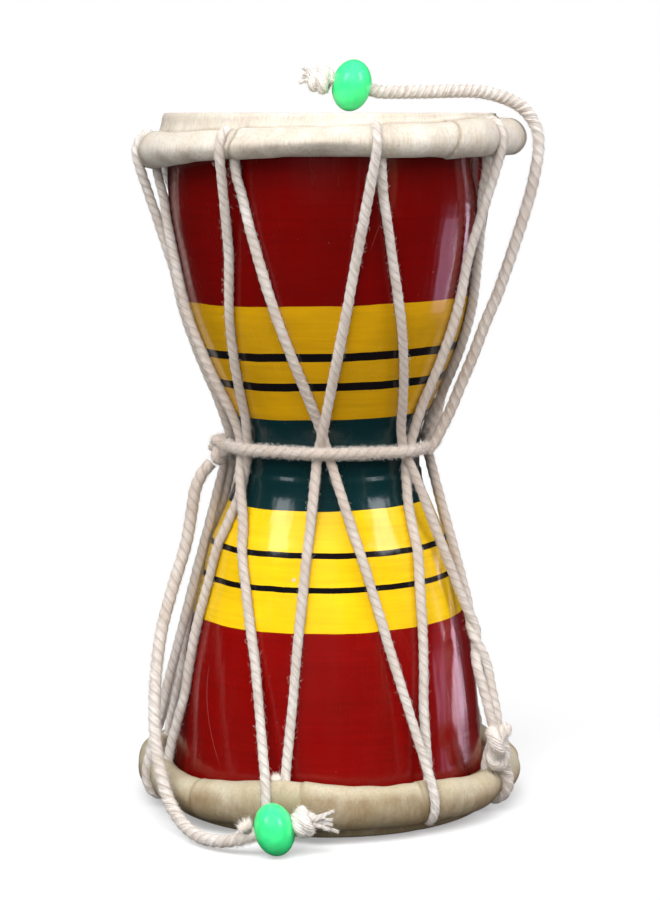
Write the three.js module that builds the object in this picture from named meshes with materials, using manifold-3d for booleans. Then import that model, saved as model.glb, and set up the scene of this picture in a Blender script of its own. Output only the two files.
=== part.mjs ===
// Damaru: a small two-headed hourglass drum, laced with one cotton cord, with two bead strikers.
// Millimetres, +Z up. The origin is the centre of the skin that the drum stands on, the drum's
// own axis is Z, and the side with the lower bead faces -Y. Angles are in degrees, seen from
// above, with 0 at the front (-Y) and 90 at +X.
import * as THREE from "three";
import { mergeVertices } from "three/addons/utils/BufferGeometryUtils.js";
import Module from "manifold-3d";

const wasm = await Module();
wasm.setup();

// Driving dimensions of the wooden body
const drumHeight = 177;
const mouthRadius = 41.2;
const waistRadius = 23.3;
const waistHeight = 90;
const rimWall = 4.5;
const waistWall = 8.5;
const rimRounding = 1;

// Driving dimensions of the two skins, each lapped round its hoop
const hoopWidth = 8.5;
const hoopHeight = 10.3;
const hoopDrop = 3.1;
const skinThickness = 0.8;
const skinEdgeRounding = 1.1;
const hoopPinch = 1.2;
const pinchSpan = 7;
const holeLedge = 0.1;
const drillOvershoot = 0.5;

// Driving dimensions of the lacing and of the belt round the waist
const lacingRadius = 1.35;
const lacingKnotRadius = 3.7;
const lacingKnotHeight = 19;
const lacingKnotOffset = 1;
const lacingKnotAngle = 62;
const beltRadius = 1.5;
const beltHeight = 93.2;
const beltSag = 1.3;
const beltKnotRadius = 3.3;
const beltKnotDrop = 1.4;
const beltKnotAngle = -77.5;

// Driving dimensions of the striker cords, their beads and the knots that hold them
const strikerRadius = 1.75;
const beadRadius = 6.4;
const beadLength = 9.3;
const knotRadius = 4.1;
const knotLength = 5;
const tasselNeckRadius = 1.6;
const tasselRadius = 2.9;
const tasselLength = 6.5;

// Clearances
const fitGap = 0.3;
const beadFloorGap = 0.15;
const mergeDistance = 1e-4;

// Where the lacing holes stand in each hoop, and where each pair of strands crosses at the
// waist: the cord is laid by hand, so the spacing is uneven
const topHoles = [-81, -31.5, 15.5, 60.5, 111, 145, 179, 212, 246];
const baseHoles = [-71, -16.5, 32, 65, 112, 150, 186, 222, 255];
const waistCrossings = [-58, -3.5, 51, 91, 125, 161, 196, 231, 267];

// The two strands of one hole of the base run side by side from this height down to their knot
const tiedHoleIndex = 3;
const tieHeight = 50;
const tieAngles = { over: 64, under: 69 };

// The turns, round the hoop's oval section, where the skin's lap starts and ends, and those that
// the cord takes as it bends over a hoop
const lapTurns = { start: 180, end: 472 };
const bendTurns = [105, 80, 52, 25, 0, -25];

// How full each bowl of the body is: shares of the way from the waist to the rim, and of the way
// from the waist's radius to the mouth's
const upperBowl = [[0, 0], [0.07, 0.02], [0.11, 0.08], [0.16, 0.19], [0.23, 0.34], [0.31, 0.5],
  [0.44, 0.71], [0.6, 0.86], [0.76, 0.975], [1, 1]];
const lowerBowl = [[0, 0], [0.07, 0.02], [0.14, 0.17], [0.2, 0.3], [0.25, 0.41], [0.35, 0.53],
  [0.47, 0.68], [0.58, 0.78], [0.7, 0.855], [0.81, 0.905], [1, 1]];

// A striker's knot and its frayed end: shares of the radius and of the length of each
const knotShares = [[0.5, 0], [0.9, 0.25], [1, 0.5], [0.85, 0.8]];
const tasselShares = [[0.85, 0.6], [1, 1]];

// The striker cords as laid, from the belt to the bead, and the place and tilt of each bead
const upperStrikerRoute = [[28.6, -6.5, 96.2], [31.4, -7, 102.5], [33.7, -7, 109], [36.6, -7, 116],
  [39.5, -7, 124], [42.8, -7, 132], [45.7, -7.5, 140.7], [48.3, -8, 149], [50.6, -8, 157],
  [52, -8.5, 164], [52.5, -8.5, 168.7], [51.9, -9, 173], [49.3, -9.5, 177.2], [45.8, -10, 179.8],
  [41, -11, 181.5], [36.2, -12, 182.3], [29.9, -13, 182.3], [21.3, -14, 182.1], [13, -14.5, 182.1]];
const baseStrikerRoute = [[-30, -6.2, 88.3], [-32.3, -6.5, 85.8], [-34.2, -7, 81.5], [-35.2, -8, 75.3],
  [-36.6, -10, 67.6], [-39.9, -14, 56.7], [-42.2, -18, 48], [-43.3, -22, 40], [-43.7, -25.5, 33],
  [-43.6, -28.5, 25.4], [-42.9, -31.5, 18.8], [-41.6, -34, 13.7], [-39.8, -37, 8.5],
  [-36.6, -41.5, 4.4], [-32.5, -47, 2.4], [-28.1, -51.5, 2.3], [-23, -55, 3.4]];
const upperBeadPlace = [5.6, -15];
const baseBeadPlace = [-13.1, -56.5];
const upperBeadDirection = new THREE.Vector3(-4.8, -0.3, 1).normalize();
const baseBeadDirection = new THREE.Vector3(4.65, 0, 1.2).normalize();

// How finely round shapes are cut
const bodySides = 32;
const bowlSteps = 9;
const sidesPerHole = 4;
const rollSteps = 6;
const drillSides = 6;
const lacingSides = 5;
const ringsPerLeg = 5;
const beltSides = 8;
const beltSteps = 36;
const strikerSides = 8;
const beadSides = 12;
const beadSteps = 6;
const knotSides = 8;

// Colours
const lacquerRed = 0x8f0d08;
const hideCream = 0xded6c4;
const cottonWhite = 0xd9cbbd;
const beadGreen = 0x35df74;

// Sizes that follow from the driving ones
const rimInset = skinThickness + fitGap;
const headInnerRadius = mouthRadius + fitGap;
const headRadius = headInnerRadius + hoopWidth;
const hoopMiddleRadius = headInnerRadius + hoopWidth / 2;
const hoopMiddleDepth = hoopDrop + hoopHeight / 2;
const hoopUnderside = hoopDrop + hoopHeight;
const holeRadius = lacingRadius + fitGap;
const pierceRadius = headInnerRadius + skinThickness + holeRadius + holeLedge;

const radians = THREE.MathUtils.degToRad;

const point = (degrees, radius, height) =>
  new THREE.Vector3(radius * Math.sin(radians(degrees)), -radius * Math.cos(radians(degrees)), height);

// Height of a depth below the outer face of the top skin (side 1) or of the base skin (side -1)
const heightAt = (side, depth) => (side > 0 ? drumHeight - depth : depth);

// How far along an angle lies between the two marks beside it, and how far off the nearer one is
function placeBetween(marks, degrees) {
  const angle = marks[0] + THREE.MathUtils.euclideanModulo(degrees - marks[0], 360);
  const closed = [...marks, marks[0] + 360];
  const index = closed.findLastIndex((mark) => angle >= mark);
  const [before, after] = [angle - closed[index], (closed[index + 1] ?? angle) - angle];
  return { share: before / (before + after || 1), nearest: Math.min(before, after) };
}

// A closed mesh with one vertex at each place and no collapsed triangles, facing out
function closedGeometry(geometry) {
  const plain = geometry.clone();
  plain.deleteAttribute("normal");
  plain.deleteAttribute("uv");
  const merged = mergeVertices(plain, mergeDistance);
  const position = merged.getAttribute("position");
  const corner = (vertex) => new THREE.Vector3().fromBufferAttribute(position, vertex);
  const index = [];
  let volume = 0;
  for (let i = 0; i < merged.index.count; i += 3) {
    const [a, b, c] = [0, 1, 2].map((k) => merged.index.getX(i + k));
    if (a === b || b === c || c === a) continue;
    index.push(a, b, c);
    volume += corner(a).dot(corner(b).cross(corner(c))) / 6;
  }
  if (volume < 0) index.reverse();
  merged.setIndex(index);
  return merged;
}

function solidOf(geometry) {
  const closed = closedGeometry(geometry);
  const vertProperties = new Float32Array(closed.getAttribute("position").array);
  const triVerts = new Uint32Array(closed.index.array);
  return new wasm.Manifold(new wasm.Mesh({ numProp: 3, vertProperties, triVerts }));
}

function geometryOf(solid) {
  const mesh = solid.getMesh();
  const geometry = new THREE.BufferGeometry();
  geometry.setAttribute("position", new THREE.BufferAttribute(new Float32Array(mesh.vertProperties), 3));
  geometry.setIndex(new THREE.BufferAttribute(new Uint32Array(mesh.triVerts), 1));
  return geometry;
}

// A profile of [radius, height] turned about Z, with its first side line at the front
function turned(profile, sides) {
  const points = profile.map(([radius, height]) => new THREE.Vector2(radius, height));
  return new THREE.LatheGeometry(points, sides).rotateX(Math.PI / 2);
}

// A ball round a place
const ball = (radius, sides, place) =>
  new THREE.SphereGeometry(radius, sides, sides - 2).translate(place.x, place.y, place.z);

// A cord whose rings stand at the points of its route
function cordAlong(points, radius, sides) {
  const route = new THREE.CatmullRomCurve3(points, false, "centripetal");
  route.getUtoTmapping = (u) => u;
  const section = new THREE.Shape(Array.from({ length: sides }, (_, i) => {
    const angle = (2 * Math.PI * i) / sides;
    return new THREE.Vector2(radius * Math.cos(angle), radius * Math.sin(angle));
  }));
  return new THREE.ExtrudeGeometry(section,
    { steps: points.length - 1, extrudePath: route, bevelEnabled: false });
}

// The body's outer outline, from the lower rim to the upper one
function bodyOutline() {
  const bowl = (shares, rimHeight) => {
    const points = shares.map(([rise, widening]) => new THREE.Vector2(
      THREE.MathUtils.lerp(waistRadius, mouthRadius, widening),
      THREE.MathUtils.lerp(waistHeight, rimHeight, rise)));
    return new THREE.SplineCurve(points).getPoints(bowlSteps)
      .map(({ x, y }) => [Math.min(x, mouthRadius), y]);
  };
  const lower = bowl(lowerBowl, rimInset).reverse();
  const upper = bowl(upperBowl, drumHeight - rimInset);
  return [...lower, ...upper.slice(1)];
}

const outline = bodyOutline();

function bodyRadius(height) {
  const above = outline.findIndex(([, z]) => z >= height);
  if (above <= 0) return outline.at(above)[0];
  const [[lowRadius, low], [highRadius, high]] = [outline[above - 1], outline[above]];
  return THREE.MathUtils.mapLinear(height, low, high, lowRadius, highRadius);
}

// The body's widest radius beside the belt, and the middle of a strand that lies there
const beltedRadius = Math.max(...[-beltRadius, 0, beltRadius]
  .map((rise) => bodyRadius(beltHeight + rise)));
const strandRadius = beltedRadius + lacingRadius + fitGap;

// One turned block of wood, hollowed from both mouths until the bowls meet at the waist
function drumBody() {
  const [lowRim, highRim] = [outline[0][1], outline.at(-1)[1]];
  const outside = [
    [mouthRadius - rimRounding, lowRim],
    [mouthRadius, lowRim + rimRounding],
    ...outline.slice(1, -1),
    [mouthRadius, highRim - rimRounding],
    [mouthRadius - rimRounding, highRim],
  ];
  const wallAt = (radius) =>
    THREE.MathUtils.mapLinear(radius, mouthRadius, waistRadius, rimWall, waistWall);
  const inside = outline.filter((_, i) => i % 2 === 0)
    .map(([radius, height]) => [radius - wallAt(radius), height])
    .reverse();
  return turned([...outside, ...inside, outside[0]], bodySides);
}

// A skin stretched over one mouth and lapped round its hoop, seen from the skin's outer face.
// Its sides are spaced so that a side line runs through each lacing hole, where the cord draws
// the hoop in.
function drumHead(side, holes) {
  const roll = Array.from({ length: rollSteps + 1 }, (_, i) => {
    const angle = radians(THREE.MathUtils.lerp(lapTurns.start, lapTurns.end, i / rollSteps));
    return [hoopMiddleRadius + (hoopWidth / 2) * Math.cos(angle),
      hoopMiddleDepth - (hoopHeight / 2) * Math.sin(angle)];
  });
  const skinRadius = headInnerRadius + skinThickness;
  const profile = [
    [0, skinThickness],
    [headInnerRadius, skinThickness],
    ...roll,
    [skinRadius, hoopDrop + skinThickness / 2],
    [skinRadius, skinEdgeRounding],
    [skinRadius - skinEdgeRounding, 0],
    [0, 0],
  ];
  const head = turned(profile.map(([radius, depth]) => [radius, heightAt(side, depth)]),
    holes.length * sidesPerHole);
  const position = head.getAttribute("position");
  for (let i = 0; i < position.count; i++) {
    const [x, y, z] = [position.getX(i), position.getY(i), position.getZ(i)];
    const radius = Math.hypot(x, y);
    const column = Math.round((Math.atan2(x, -y) / (2 * Math.PI)) * holes.length * sidesPerHole);
    const slot = THREE.MathUtils.euclideanModulo(column, holes.length * sidesPerHole) / sidesPerHole;
    const hole = Math.floor(slot);
    const degrees = THREE.MathUtils.lerp(holes[hole], holes[hole + 1] ?? holes[0] + 360, slot - hole);
    const outward = THREE.MathUtils.clamp((radius - pierceRadius) / (headRadius - pierceRadius), 0, 1);
    const near = Math.exp(-((placeBetween(holes, degrees).nearest / pinchSpan) ** 2));
    position.setXYZ(i, ...point(degrees, radius - hoopPinch * outward * near, z).toArray());
  }
  const drilled = holes.map((degrees) => {
    const centre = point(degrees, pierceRadius, heightAt(side, hoopUnderside / 2));
    const length = hoopUnderside + 2 * drillOvershoot;
    const drill = new THREE.CylinderGeometry(holeRadius, holeRadius, length, drillSides);
    return solidOf(drill.rotateX(Math.PI / 2).translate(centre.x, centre.y, centre.z));
  });
  return geometryOf(drilled.reduce((solid, drill) => solid.subtract(drill), solidOf(head)));
}

// The lacing in its hole and over the hoop to the hoop's outer side
function hoopBend(side, degrees) {
  const inHole = [hoopMiddleDepth, hoopDrop + lacingRadius + fitGap]
    .map((depth) => point(degrees, pierceRadius, heightAt(side, depth)));
  const bendWidth = hoopWidth / 2 - hoopPinch + lacingRadius + fitGap;
  const bendHeight = hoopHeight / 2 + lacingRadius + fitGap;
  const over = bendTurns.map((turn) => point(degrees,
    hoopMiddleRadius + bendWidth * Math.cos(radians(turn)),
    heightAt(side, hoopMiddleDepth - bendHeight * Math.sin(radians(turn)))));
  return [...inHole, ...over];
}

// The lacing where it rises under a hoop into its hole
const hoopEntry = (side, degrees) => [hoopUnderside + fitGap, hoopUnderside - 2 * lacingRadius]
  .map((depth) => point(degrees, pierceRadius, heightAt(side, depth)));

// The lacing from stop to stop, laid on the body where the straight way would cut it. Where it
// runs free it needs no points of its own.
function laidAlong(stops) {
  return stops.slice(1).flatMap((end, leg) => {
    const places = Array.from({ length: ringsPerLeg + 1 }, (_, i) => {
      const place = stops[leg].clone().lerp(end, (i + 1) / (ringsPerLeg + 1));
      const outward = (bodyRadius(place.z) + lacingRadius + fitGap) / Math.hypot(place.x, place.y);
      const laid = outward > 1;
      return { laid, place: laid ? place.set(place.x * outward, place.y * outward, place.z) : place };
    });
    return places.filter(({ laid }, i) => laid || places[i - 1]?.laid || (places[i + 1]?.laid ?? true))
      .map(({ place }) => place);
  });
}

// From one hole of the top hoop down to the next hole of the base on the left, and up again to
// the next hole of the top. The cord goes over a hoop where it sets out and under it where it
// arrives.
function lacingLoop(hole) {
  const count = topHoles.length;
  const [left, leftTop] = [(hole + count - 1) % count, (hole + count - 2) % count];
  const waist = (crossing) => point(waistCrossings[crossing], strandRadius, beltHeight);
  const tied = left === tiedHoleIndex;
  const tie = (degrees) => (tied ? [point(degrees, bodyRadius(tieHeight), tieHeight)] : []);
  const topBend = hoopBend(1, topHoles[hole]);
  const baseEntry = hoopEntry(-1, baseHoles[left]);
  const baseBend = hoopBend(-1, baseHoles[left]);
  const topEntry = hoopEntry(1, topHoles[leftTop]);
  return [
    ...topBend,
    ...laidAlong([topBend.at(-1), waist(left), ...tie(tieAngles.under), baseEntry[0]]),
    baseEntry[1],
    ...baseBend,
    ...laidAlong([baseBend.at(-1), ...tie(tieAngles.over), waist(leftTop), topEntry[0]]),
    topEntry[1],
    point(topHoles[leftTop], pierceRadius, heightAt(1, hoopMiddleDepth - lacingRadius)),
  ];
}

// One cord in eighteen strands, and the knot of its two ends
function lacingCord() {
  const loops = topHoles.map((_, hole) => solidOf(cordAlong(lacingLoop(hole), lacingRadius, lacingSides)));
  const knotPlace = point(lacingKnotAngle, hoopMiddleRadius + lacingKnotOffset, lacingKnotHeight);
  const knot = solidOf(ball(lacingKnotRadius, knotSides, knotPlace));
  return geometryOf([...loops, knot].reduce((cord, next) => cord.add(next)));
}

// The cord tied round the waist, taut from crossing to crossing of the strands that it draws in
function waistBelt() {
  const beltLine = strandRadius + lacingRadius + fitGap + beltRadius;
  const ring = new THREE.TorusGeometry(beltLine, beltRadius, beltSides, beltSteps);
  const position = ring.getAttribute("position");
  for (let i = 0; i < position.count; i++) {
    const [x, y, z] = [position.getX(i), position.getY(i), position.getZ(i)];
    const degrees = THREE.MathUtils.radToDeg(Math.atan2(x, -y));
    const sag = beltSag * Math.sin(Math.PI * placeBetween(waistCrossings, degrees).share) ** 2;
    position.setXYZ(i, ...point(degrees, Math.hypot(x, y) - sag, z + beltHeight).toArray());
  }
  const knotPlace = point(beltKnotAngle, beltLine, beltHeight - beltKnotDrop);
  return geometryOf(solidOf(ring).add(solidOf(ball(beltKnotRadius, knotSides, knotPlace))));
}

// A bead with its hole along Z
function bead() {
  const reach = Math.acos((strikerRadius + fitGap) / beadRadius);
  const rise = beadLength / 2 / Math.sin(reach);
  const outside = Array.from({ length: beadSteps + 1 }, (_, i) => {
    const angle = THREE.MathUtils.lerp(-reach, reach, i / beadSteps);
    return [beadRadius * Math.cos(angle), rise * Math.sin(angle)];
  });
  return turned([...outside, outside[0]], beadSides);
}

// The cord's own knot behind a bead, with its frayed end, from the origin along Z
function knotAndTassel() {
  const end = knotLength + tasselLength;
  return turned([
    [0, 0],
    ...knotShares.map(([across, along]) => [knotRadius * across, knotLength * along]),
    [tasselNeckRadius, knotLength],
    ...tasselShares.map(([across, along]) =>
      [tasselRadius * across, knotLength + tasselLength * along]),
    [0, end],
  ], knotSides);
}

function addPiece(name, geometry, color, roughness) {
  const material = new THREE.MeshStandardMaterial({ color, roughness, metalness: 0 });
  const mesh = new THREE.Mesh(geometry, material);
  mesh.name = name;
  damaru.add(mesh);
  return mesh;
}

// A striker: its cord, which ends inside the bead, the bead, and the knot that keeps the bead on
function addStriker(name, route, beadCentre, direction) {
  const along = (distance) => beadCentre.clone().addScaledVector(direction, distance);
  const aimed = new THREE.Quaternion().setFromUnitVectors(new THREE.Vector3(0, 0, 1), direction);
  const points = [...route.map((place) => new THREE.Vector3(...place)),
    ...[-0.5, 0, 0.5].map((share) => along(share * beadLength))];
  const cord = cordAlong(points, strikerRadius, strikerSides);
  addPiece(`${name}_cord`, closedGeometry(cord), cottonWhite, 0.95);
  const beadMesh = addPiece(`${name}_bead`, closedGeometry(bead()), beadGreen, 0.2);
  beadMesh.position.copy(beadCentre);
  beadMesh.quaternion.copy(aimed);
  const knotMesh = addPiece(`${name}_knot`, closedGeometry(knotAndTassel()), cottonWhite, 0.95);
  knotMesh.position.copy(along(beadLength / 2 + fitGap));
  knotMesh.quaternion.copy(aimed);
}

const damaru = new THREE.Group();
damaru.name = "damaru";
addPiece("drum_body", closedGeometry(drumBody()), lacquerRed, 0.2);
addPiece("top_head", drumHead(1, topHoles), hideCream, 0.7);
addPiece("base_head", drumHead(-1, baseHoles), hideCream, 0.7);
addPiece("lacing_cord", lacingCord(), cottonWhite, 0.95);
addPiece("waist_belt", waistBelt(), cottonWhite, 0.95);
addStriker("upper_striker", upperStrikerRoute,
  new THREE.Vector3(...upperBeadPlace, drumHeight + fitGap + beadRadius), upperBeadDirection);
addStriker("base_striker", baseStrikerRoute,
  new THREE.Vector3(...baseBeadPlace, beadFloorGap + beadRadius), baseBeadDirection);

export default damaru;
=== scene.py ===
"""A damaru, a small laced hourglass drum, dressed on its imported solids.

Lengths are millimetres in the classes and metres in Blender. Angles are in degrees seen from
above, with 0 at the front (-Y) and 90 at +X.
"""

import logging
import math
from dataclasses import dataclass, field
from enum import Enum
from itertools import pairwise

import bpy
import numpy as np
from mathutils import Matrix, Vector


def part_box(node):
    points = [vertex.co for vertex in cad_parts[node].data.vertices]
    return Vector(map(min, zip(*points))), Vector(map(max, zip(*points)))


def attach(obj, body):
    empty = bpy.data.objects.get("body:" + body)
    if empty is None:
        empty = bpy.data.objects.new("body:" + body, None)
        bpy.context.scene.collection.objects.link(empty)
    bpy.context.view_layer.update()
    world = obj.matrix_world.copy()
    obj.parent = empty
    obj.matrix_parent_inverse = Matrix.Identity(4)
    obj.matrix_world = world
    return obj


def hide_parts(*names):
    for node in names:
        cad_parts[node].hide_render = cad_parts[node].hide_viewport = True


log = logging.getLogger("damaru")

Socket = bpy.types.NodeSocket
Feed = Socket | float | tuple

MM = 0.001
BODY = "root"

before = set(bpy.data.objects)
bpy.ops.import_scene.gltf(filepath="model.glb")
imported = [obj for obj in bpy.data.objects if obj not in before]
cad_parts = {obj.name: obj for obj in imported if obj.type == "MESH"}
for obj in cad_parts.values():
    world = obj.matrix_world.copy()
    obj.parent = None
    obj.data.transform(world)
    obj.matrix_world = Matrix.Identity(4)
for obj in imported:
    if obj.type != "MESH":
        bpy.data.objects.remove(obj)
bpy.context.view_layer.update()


def node_span(node: str, axis: int) -> tuple[float, float]:
    """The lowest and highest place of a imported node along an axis, in millimetres.

    Args:
        node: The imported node's name.
        axis: 0, 1 or 2 for X, Y or Z.

    Returns:
        The two places.
    """
    low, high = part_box(node)
    return low[axis] / MM, high[axis] / MM


DRUM_HEIGHT = node_span("top_head", 2)[1]
MOUTH_RADIUS = node_span("drum_body", 0)[1]
RIM_LOW, RIM_HIGH = node_span("drum_body", 2)
WAIST_RADIUS = 23.3
WAIST_HEIGHT = 90.0
FIT_GAP = 0.3
BELT_HEIGHT = 93.2
LACING_RADIUS = 1.35

TOP_HOLES = (-81, -31.5, 15.5, 60.5, 111, 145, 179, 212, 246)
BASE_HOLES = (-71, -16.5, 32, 65, 112, 150, 186, 222, 255)
WAIST_CROSSINGS = (-58, -3.5, 51, 91, 125, 161, 196, 231, 267)

# How far each hoop's far edge stands from true at an angle, and the angles where its skin laps
TOP_LIFTS = (
    (-80, -1.4), (-65, -1.8), (-50, -2.5), (-42, -2.9), (-26, -3.3), (-18, -3.4), (-11, -3.8),
    (3, -3.9), (8, -2.9), (20, -2.1), (30, -1.8), (38, -1.6), (45, -1.4), (52, -1.4), (80, -1.2),
    (110, -1), (150, -0.2), (180, -1.2), (210, -0.3), (240, -1.4))
TOP_LAPS = (38.5, -29, 112, 163, 214, 291)
BASE_LIFTS = (
    (-88, 1.5), (-70, 0), (-51, -1.2), (-45, -1.2), (-35, -0.3), (-26, 0.9), (-18, 1.6), (-9, 1.9),
    (0, 1.0), (12, 0.4), (25, 0.2), (36, 0.1), (46, -1.2), (65, -1.6), (80, -1.6), (110, -0.6),
    (150, 0.8), (180, 0), (215, 0.6), (250, -0.8))
BASE_LAPS = (-43.5, -7.5, 29, 95, 150, 205, 250)

# How full each bowl is: shares of the way from the waist to the rim, and to the mouth's radius
UPPER_BOWL = ((0, 0), (0.07, 0.02), (0.11, 0.08), (0.16, 0.19), (0.23, 0.34), (0.31, 0.5),
              (0.44, 0.71), (0.6, 0.86), (0.76, 0.975), (1, 1))
LOWER_BOWL = ((0, 0), (0.07, 0.02), (0.14, 0.17), (0.2, 0.3), (0.25, 0.41), (0.35, 0.53),
              (0.47, 0.68), (0.58, 0.78), (0.7, 0.855), (0.81, 0.905), (1, 1))

UPPER_STRIKER_ROUTE = (
    (24.6, -9.5, 91.2), (27.1, -8.1, 94.6), (30.9, -7, 102), (33.7, -7, 109), (36.6, -7, 116),
    (39.5, -7, 124), (42.8, -7, 132), (45.7, -7.5, 140.7), (48.3, -8, 149), (50.6, -8, 157), (52, -8.5, 164),
    (52.5, -8.5, 168.7), (51.9, -9, 173), (49.3, -9.5, 177.2), (45.8, -10, 179.8),
    (41, -11, 181.5), (36.2, -12, 182.3), (29.9, -13, 182.3), (21.3, -14, 182.1), (13, -14.5, 182.1))
BASE_STRIKER_ROUTE = (
    (-30, -6.2, 88.3), (-32.3, -6.5, 85.8), (-34.2, -7, 81.5), (-35.2, -8, 75.3),
    (-36.6, -10, 67.6), (-39.9, -14, 56.7), (-42.2, -18, 48), (-43.3, -22, 40), (-43.7, -25.5, 33),
    (-43.6, -28.5, 25.4), (-42.9, -31.5, 18.8), (-41.6, -34, 13.7), (-39.8, -37, 8.5),
    (-36.6, -41.5, 4.4), (-32.5, -47, 2.4), (-28.1, -51.5, 2.3), (-23, -55, 3.4))


class Side(Enum):
    """Which head of the drum, and the way that its outer face looks."""

    TOP = 1
    BASE = -1

    def height(self, depth: float | np.ndarray) -> float | np.ndarray:
        """The height of a depth below this head's outer face, or the depth of a height."""
        return DRUM_HEIGHT - depth if self is Side.TOP else depth


class Paint(Enum):
    """The lacquers on the body, as linear colours. The upper bowl's red and gold carry painted shade."""

    RED = (0.222, 0.0015, 0.001, 1)
    # The upper bowl's red: the same lacquer as RED, painted darker as shade, because the upper bowl faces
    # down, away from the light from above.
    DEEP_RED = (0.148, 0.0007, 0.0005, 1)
    LEMON = (0.86, 0.54, 0.005, 1)
    # The upper bowl's gold: a deeper, more orange yellow than LEMON, painted darker still as shade, because
    # the upper bowl faces down.
    GOLD = (0.58, 0.305, 0.002, 1)
    TEAL = (0.0001, 0.021, 0.024, 1)
    BLACK = (0.004, 0.004, 0.005, 1)


def point(degrees: float, radius: float, height: float) -> np.ndarray:
    """A place given by its angle round the drum, its distance from the axis and its height."""
    angle = math.radians(degrees)
    return np.array([radius * math.sin(angle), -radius * math.cos(angle), height])


def angles_of(places: np.ndarray) -> np.ndarray:
    """The angle round the drum of each place in an array of places."""
    return np.degrees(np.arctan2(places[:, 0], -places[:, 1]))


def angle_gap(angles: np.ndarray, mark: float) -> np.ndarray:
    """How far each angle lies past a mark, from -180 to 180."""
    return (angles - mark + 180) % 360 - 180


def smoothstep(values: np.ndarray, low: float, high: float) -> np.ndarray:
    """A smooth rise from 0 at low to 1 at high."""
    share = np.clip((values - low) / (high - low), 0, 1)
    return share * share * (3 - 2 * share)


def spline_points(points: list, steps: int) -> np.ndarray:
    """A Catmull-Rom curve through points, with even steps between each two.

    Args:
        points: The places that the curve goes through.
        steps: How many steps from each place to the next.

    Returns:
        The places along the curve, its last point among them.
    """
    marks = np.array(points, float)
    padded = np.vstack([2 * marks[0] - marks[1], marks, 2 * marks[-1] - marks[-2]])
    shares = np.arange(steps)[:, None] / steps
    curve = []
    for a, b, c, d in zip(padded, padded[1:], padded[2:], padded[3:]):
        curve.append(0.5 * (2 * b + (c - a) * shares + (2 * a - 5 * b + 4 * c - d) * shares ** 2
                            + (3 * b - a - 3 * c + d) * shares ** 3))
    return np.vstack([*curve, marks[-1]])


def even_steps(route: np.ndarray, step: float, closed: bool = False) -> np.ndarray:
    """A route cut anew into steps of one length.

    Args:
        route: The places along the route.
        step: The length of a step.
        closed: Whether the route runs back into its start.

    Returns:
        The new places, without a second copy of the start on a closed route.
    """
    line = np.vstack([route, route[:1]]) if closed else route
    travelled = np.concatenate([[0], np.cumsum(np.linalg.norm(np.diff(line, axis=0), axis=1))])
    count = max(2, round(travelled[-1] / step))
    marks = np.linspace(0, travelled[-1], count + 1)
    marks = marks[:-1] if closed else marks
    return np.column_stack([np.interp(marks, travelled, line[:, axis]) for axis in range(3)])


def eased(route: np.ndarray, rounds: int, closed: bool = False) -> np.ndarray:
    """A route with its corners eased by averaging neighbours.

    Args:
        route: The places along the route.
        rounds: How many times each place moves to the mean of itself and its neighbours.
        closed: Whether the route runs back into its start.

    Returns:
        The eased route, with the ends of an open one kept.
    """
    for _ in range(rounds):
        mean = (np.roll(route, 1, 0) + 2 * route + np.roll(route, -1, 0)) / 4
        if not closed:
            mean[0], mean[-1] = route[0], route[-1]
        route = mean
    return route


def body_outline() -> np.ndarray:
    """The wooden body's outer outline, from the lower rim to the upper.

    Returns:
        The radius and height of its places.
    """
    def bowl(shares: tuple, rim: float) -> np.ndarray:
        """One bowl's outline, from the waist to its rim.

        Args:
            shares: How full the bowl is on its way.
            rim: The height of its rim.

        Returns:
            The radius and height of its places.
        """
        marks = [(WAIST_RADIUS + (MOUTH_RADIUS - WAIST_RADIUS) * widening,
                  WAIST_HEIGHT + (rim - WAIST_HEIGHT) * rise) for rise, widening in shares]
        curve = spline_points(marks, 4)
        return np.column_stack([np.minimum(curve[:, 0], MOUTH_RADIUS), curve[:, 1]])

    lower = bowl(LOWER_BOWL, RIM_LOW)[::-1]
    upper = bowl(UPPER_BOWL, RIM_HIGH)
    return np.vstack([lower, upper[1:]])


OUTLINE = body_outline()


def body_radius(heights: np.ndarray) -> np.ndarray:
    """The wooden body's outer radius at each height."""
    return np.interp(heights, OUTLINE[:, 1], OUTLINE[:, 0])


def kept_off_body(route: np.ndarray, clearance: float) -> np.ndarray:
    """A route moved straight out from the axis where it would cut into the body.

    Args:
        route: The places along the route.
        clearance: The least distance from the body's face to the route.

    Returns:
        The moved route.
    """
    away = np.hypot(route[:, 0], route[:, 1])
    least = body_radius(route[:, 2]) + clearance
    factor = np.maximum(least / np.maximum(away, 1e-6), 1)
    on_body = (route[:, 2] > RIM_LOW) & (route[:, 2] < RIM_HIGH)
    moved = route.copy()
    moved[on_body, :2] *= factor[on_body, None]
    return moved


def overhand_knot(centre: np.ndarray, turns: np.ndarray, scale: tuple) -> np.ndarray:
    """The route of an overhand knot that lies against the drum.

    Args:
        centre: The knot's middle.
        turns: The places along the knot, which closes after 2 pi.
        scale: Its size across, outwards and upwards.

    Returns:
        The places along its cord.
    """
    upward = np.array([0, 0, 1.0])
    outward = np.array([centre[0], centre[1], 0]) / math.hypot(centre[0], centre[1])
    x = (np.sin(turns) + 2 * np.sin(2 * turns)) * scale[0]
    y = -np.sin(3 * turns) * scale[1]
    z = (np.cos(turns) - 2 * np.cos(2 * turns)) * scale[2]
    return centre + np.outer(x, np.cross(upward, outward)) + np.outer(y, outward) + np.outer(z, upward)


def deselect_all() -> None:
    """Leaves object mode with nothing selected."""
    if bpy.context.mode != "OBJECT":
        bpy.ops.object.mode_set(mode="OBJECT")
    bpy.ops.object.select_all(action="DESELECT")


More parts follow.
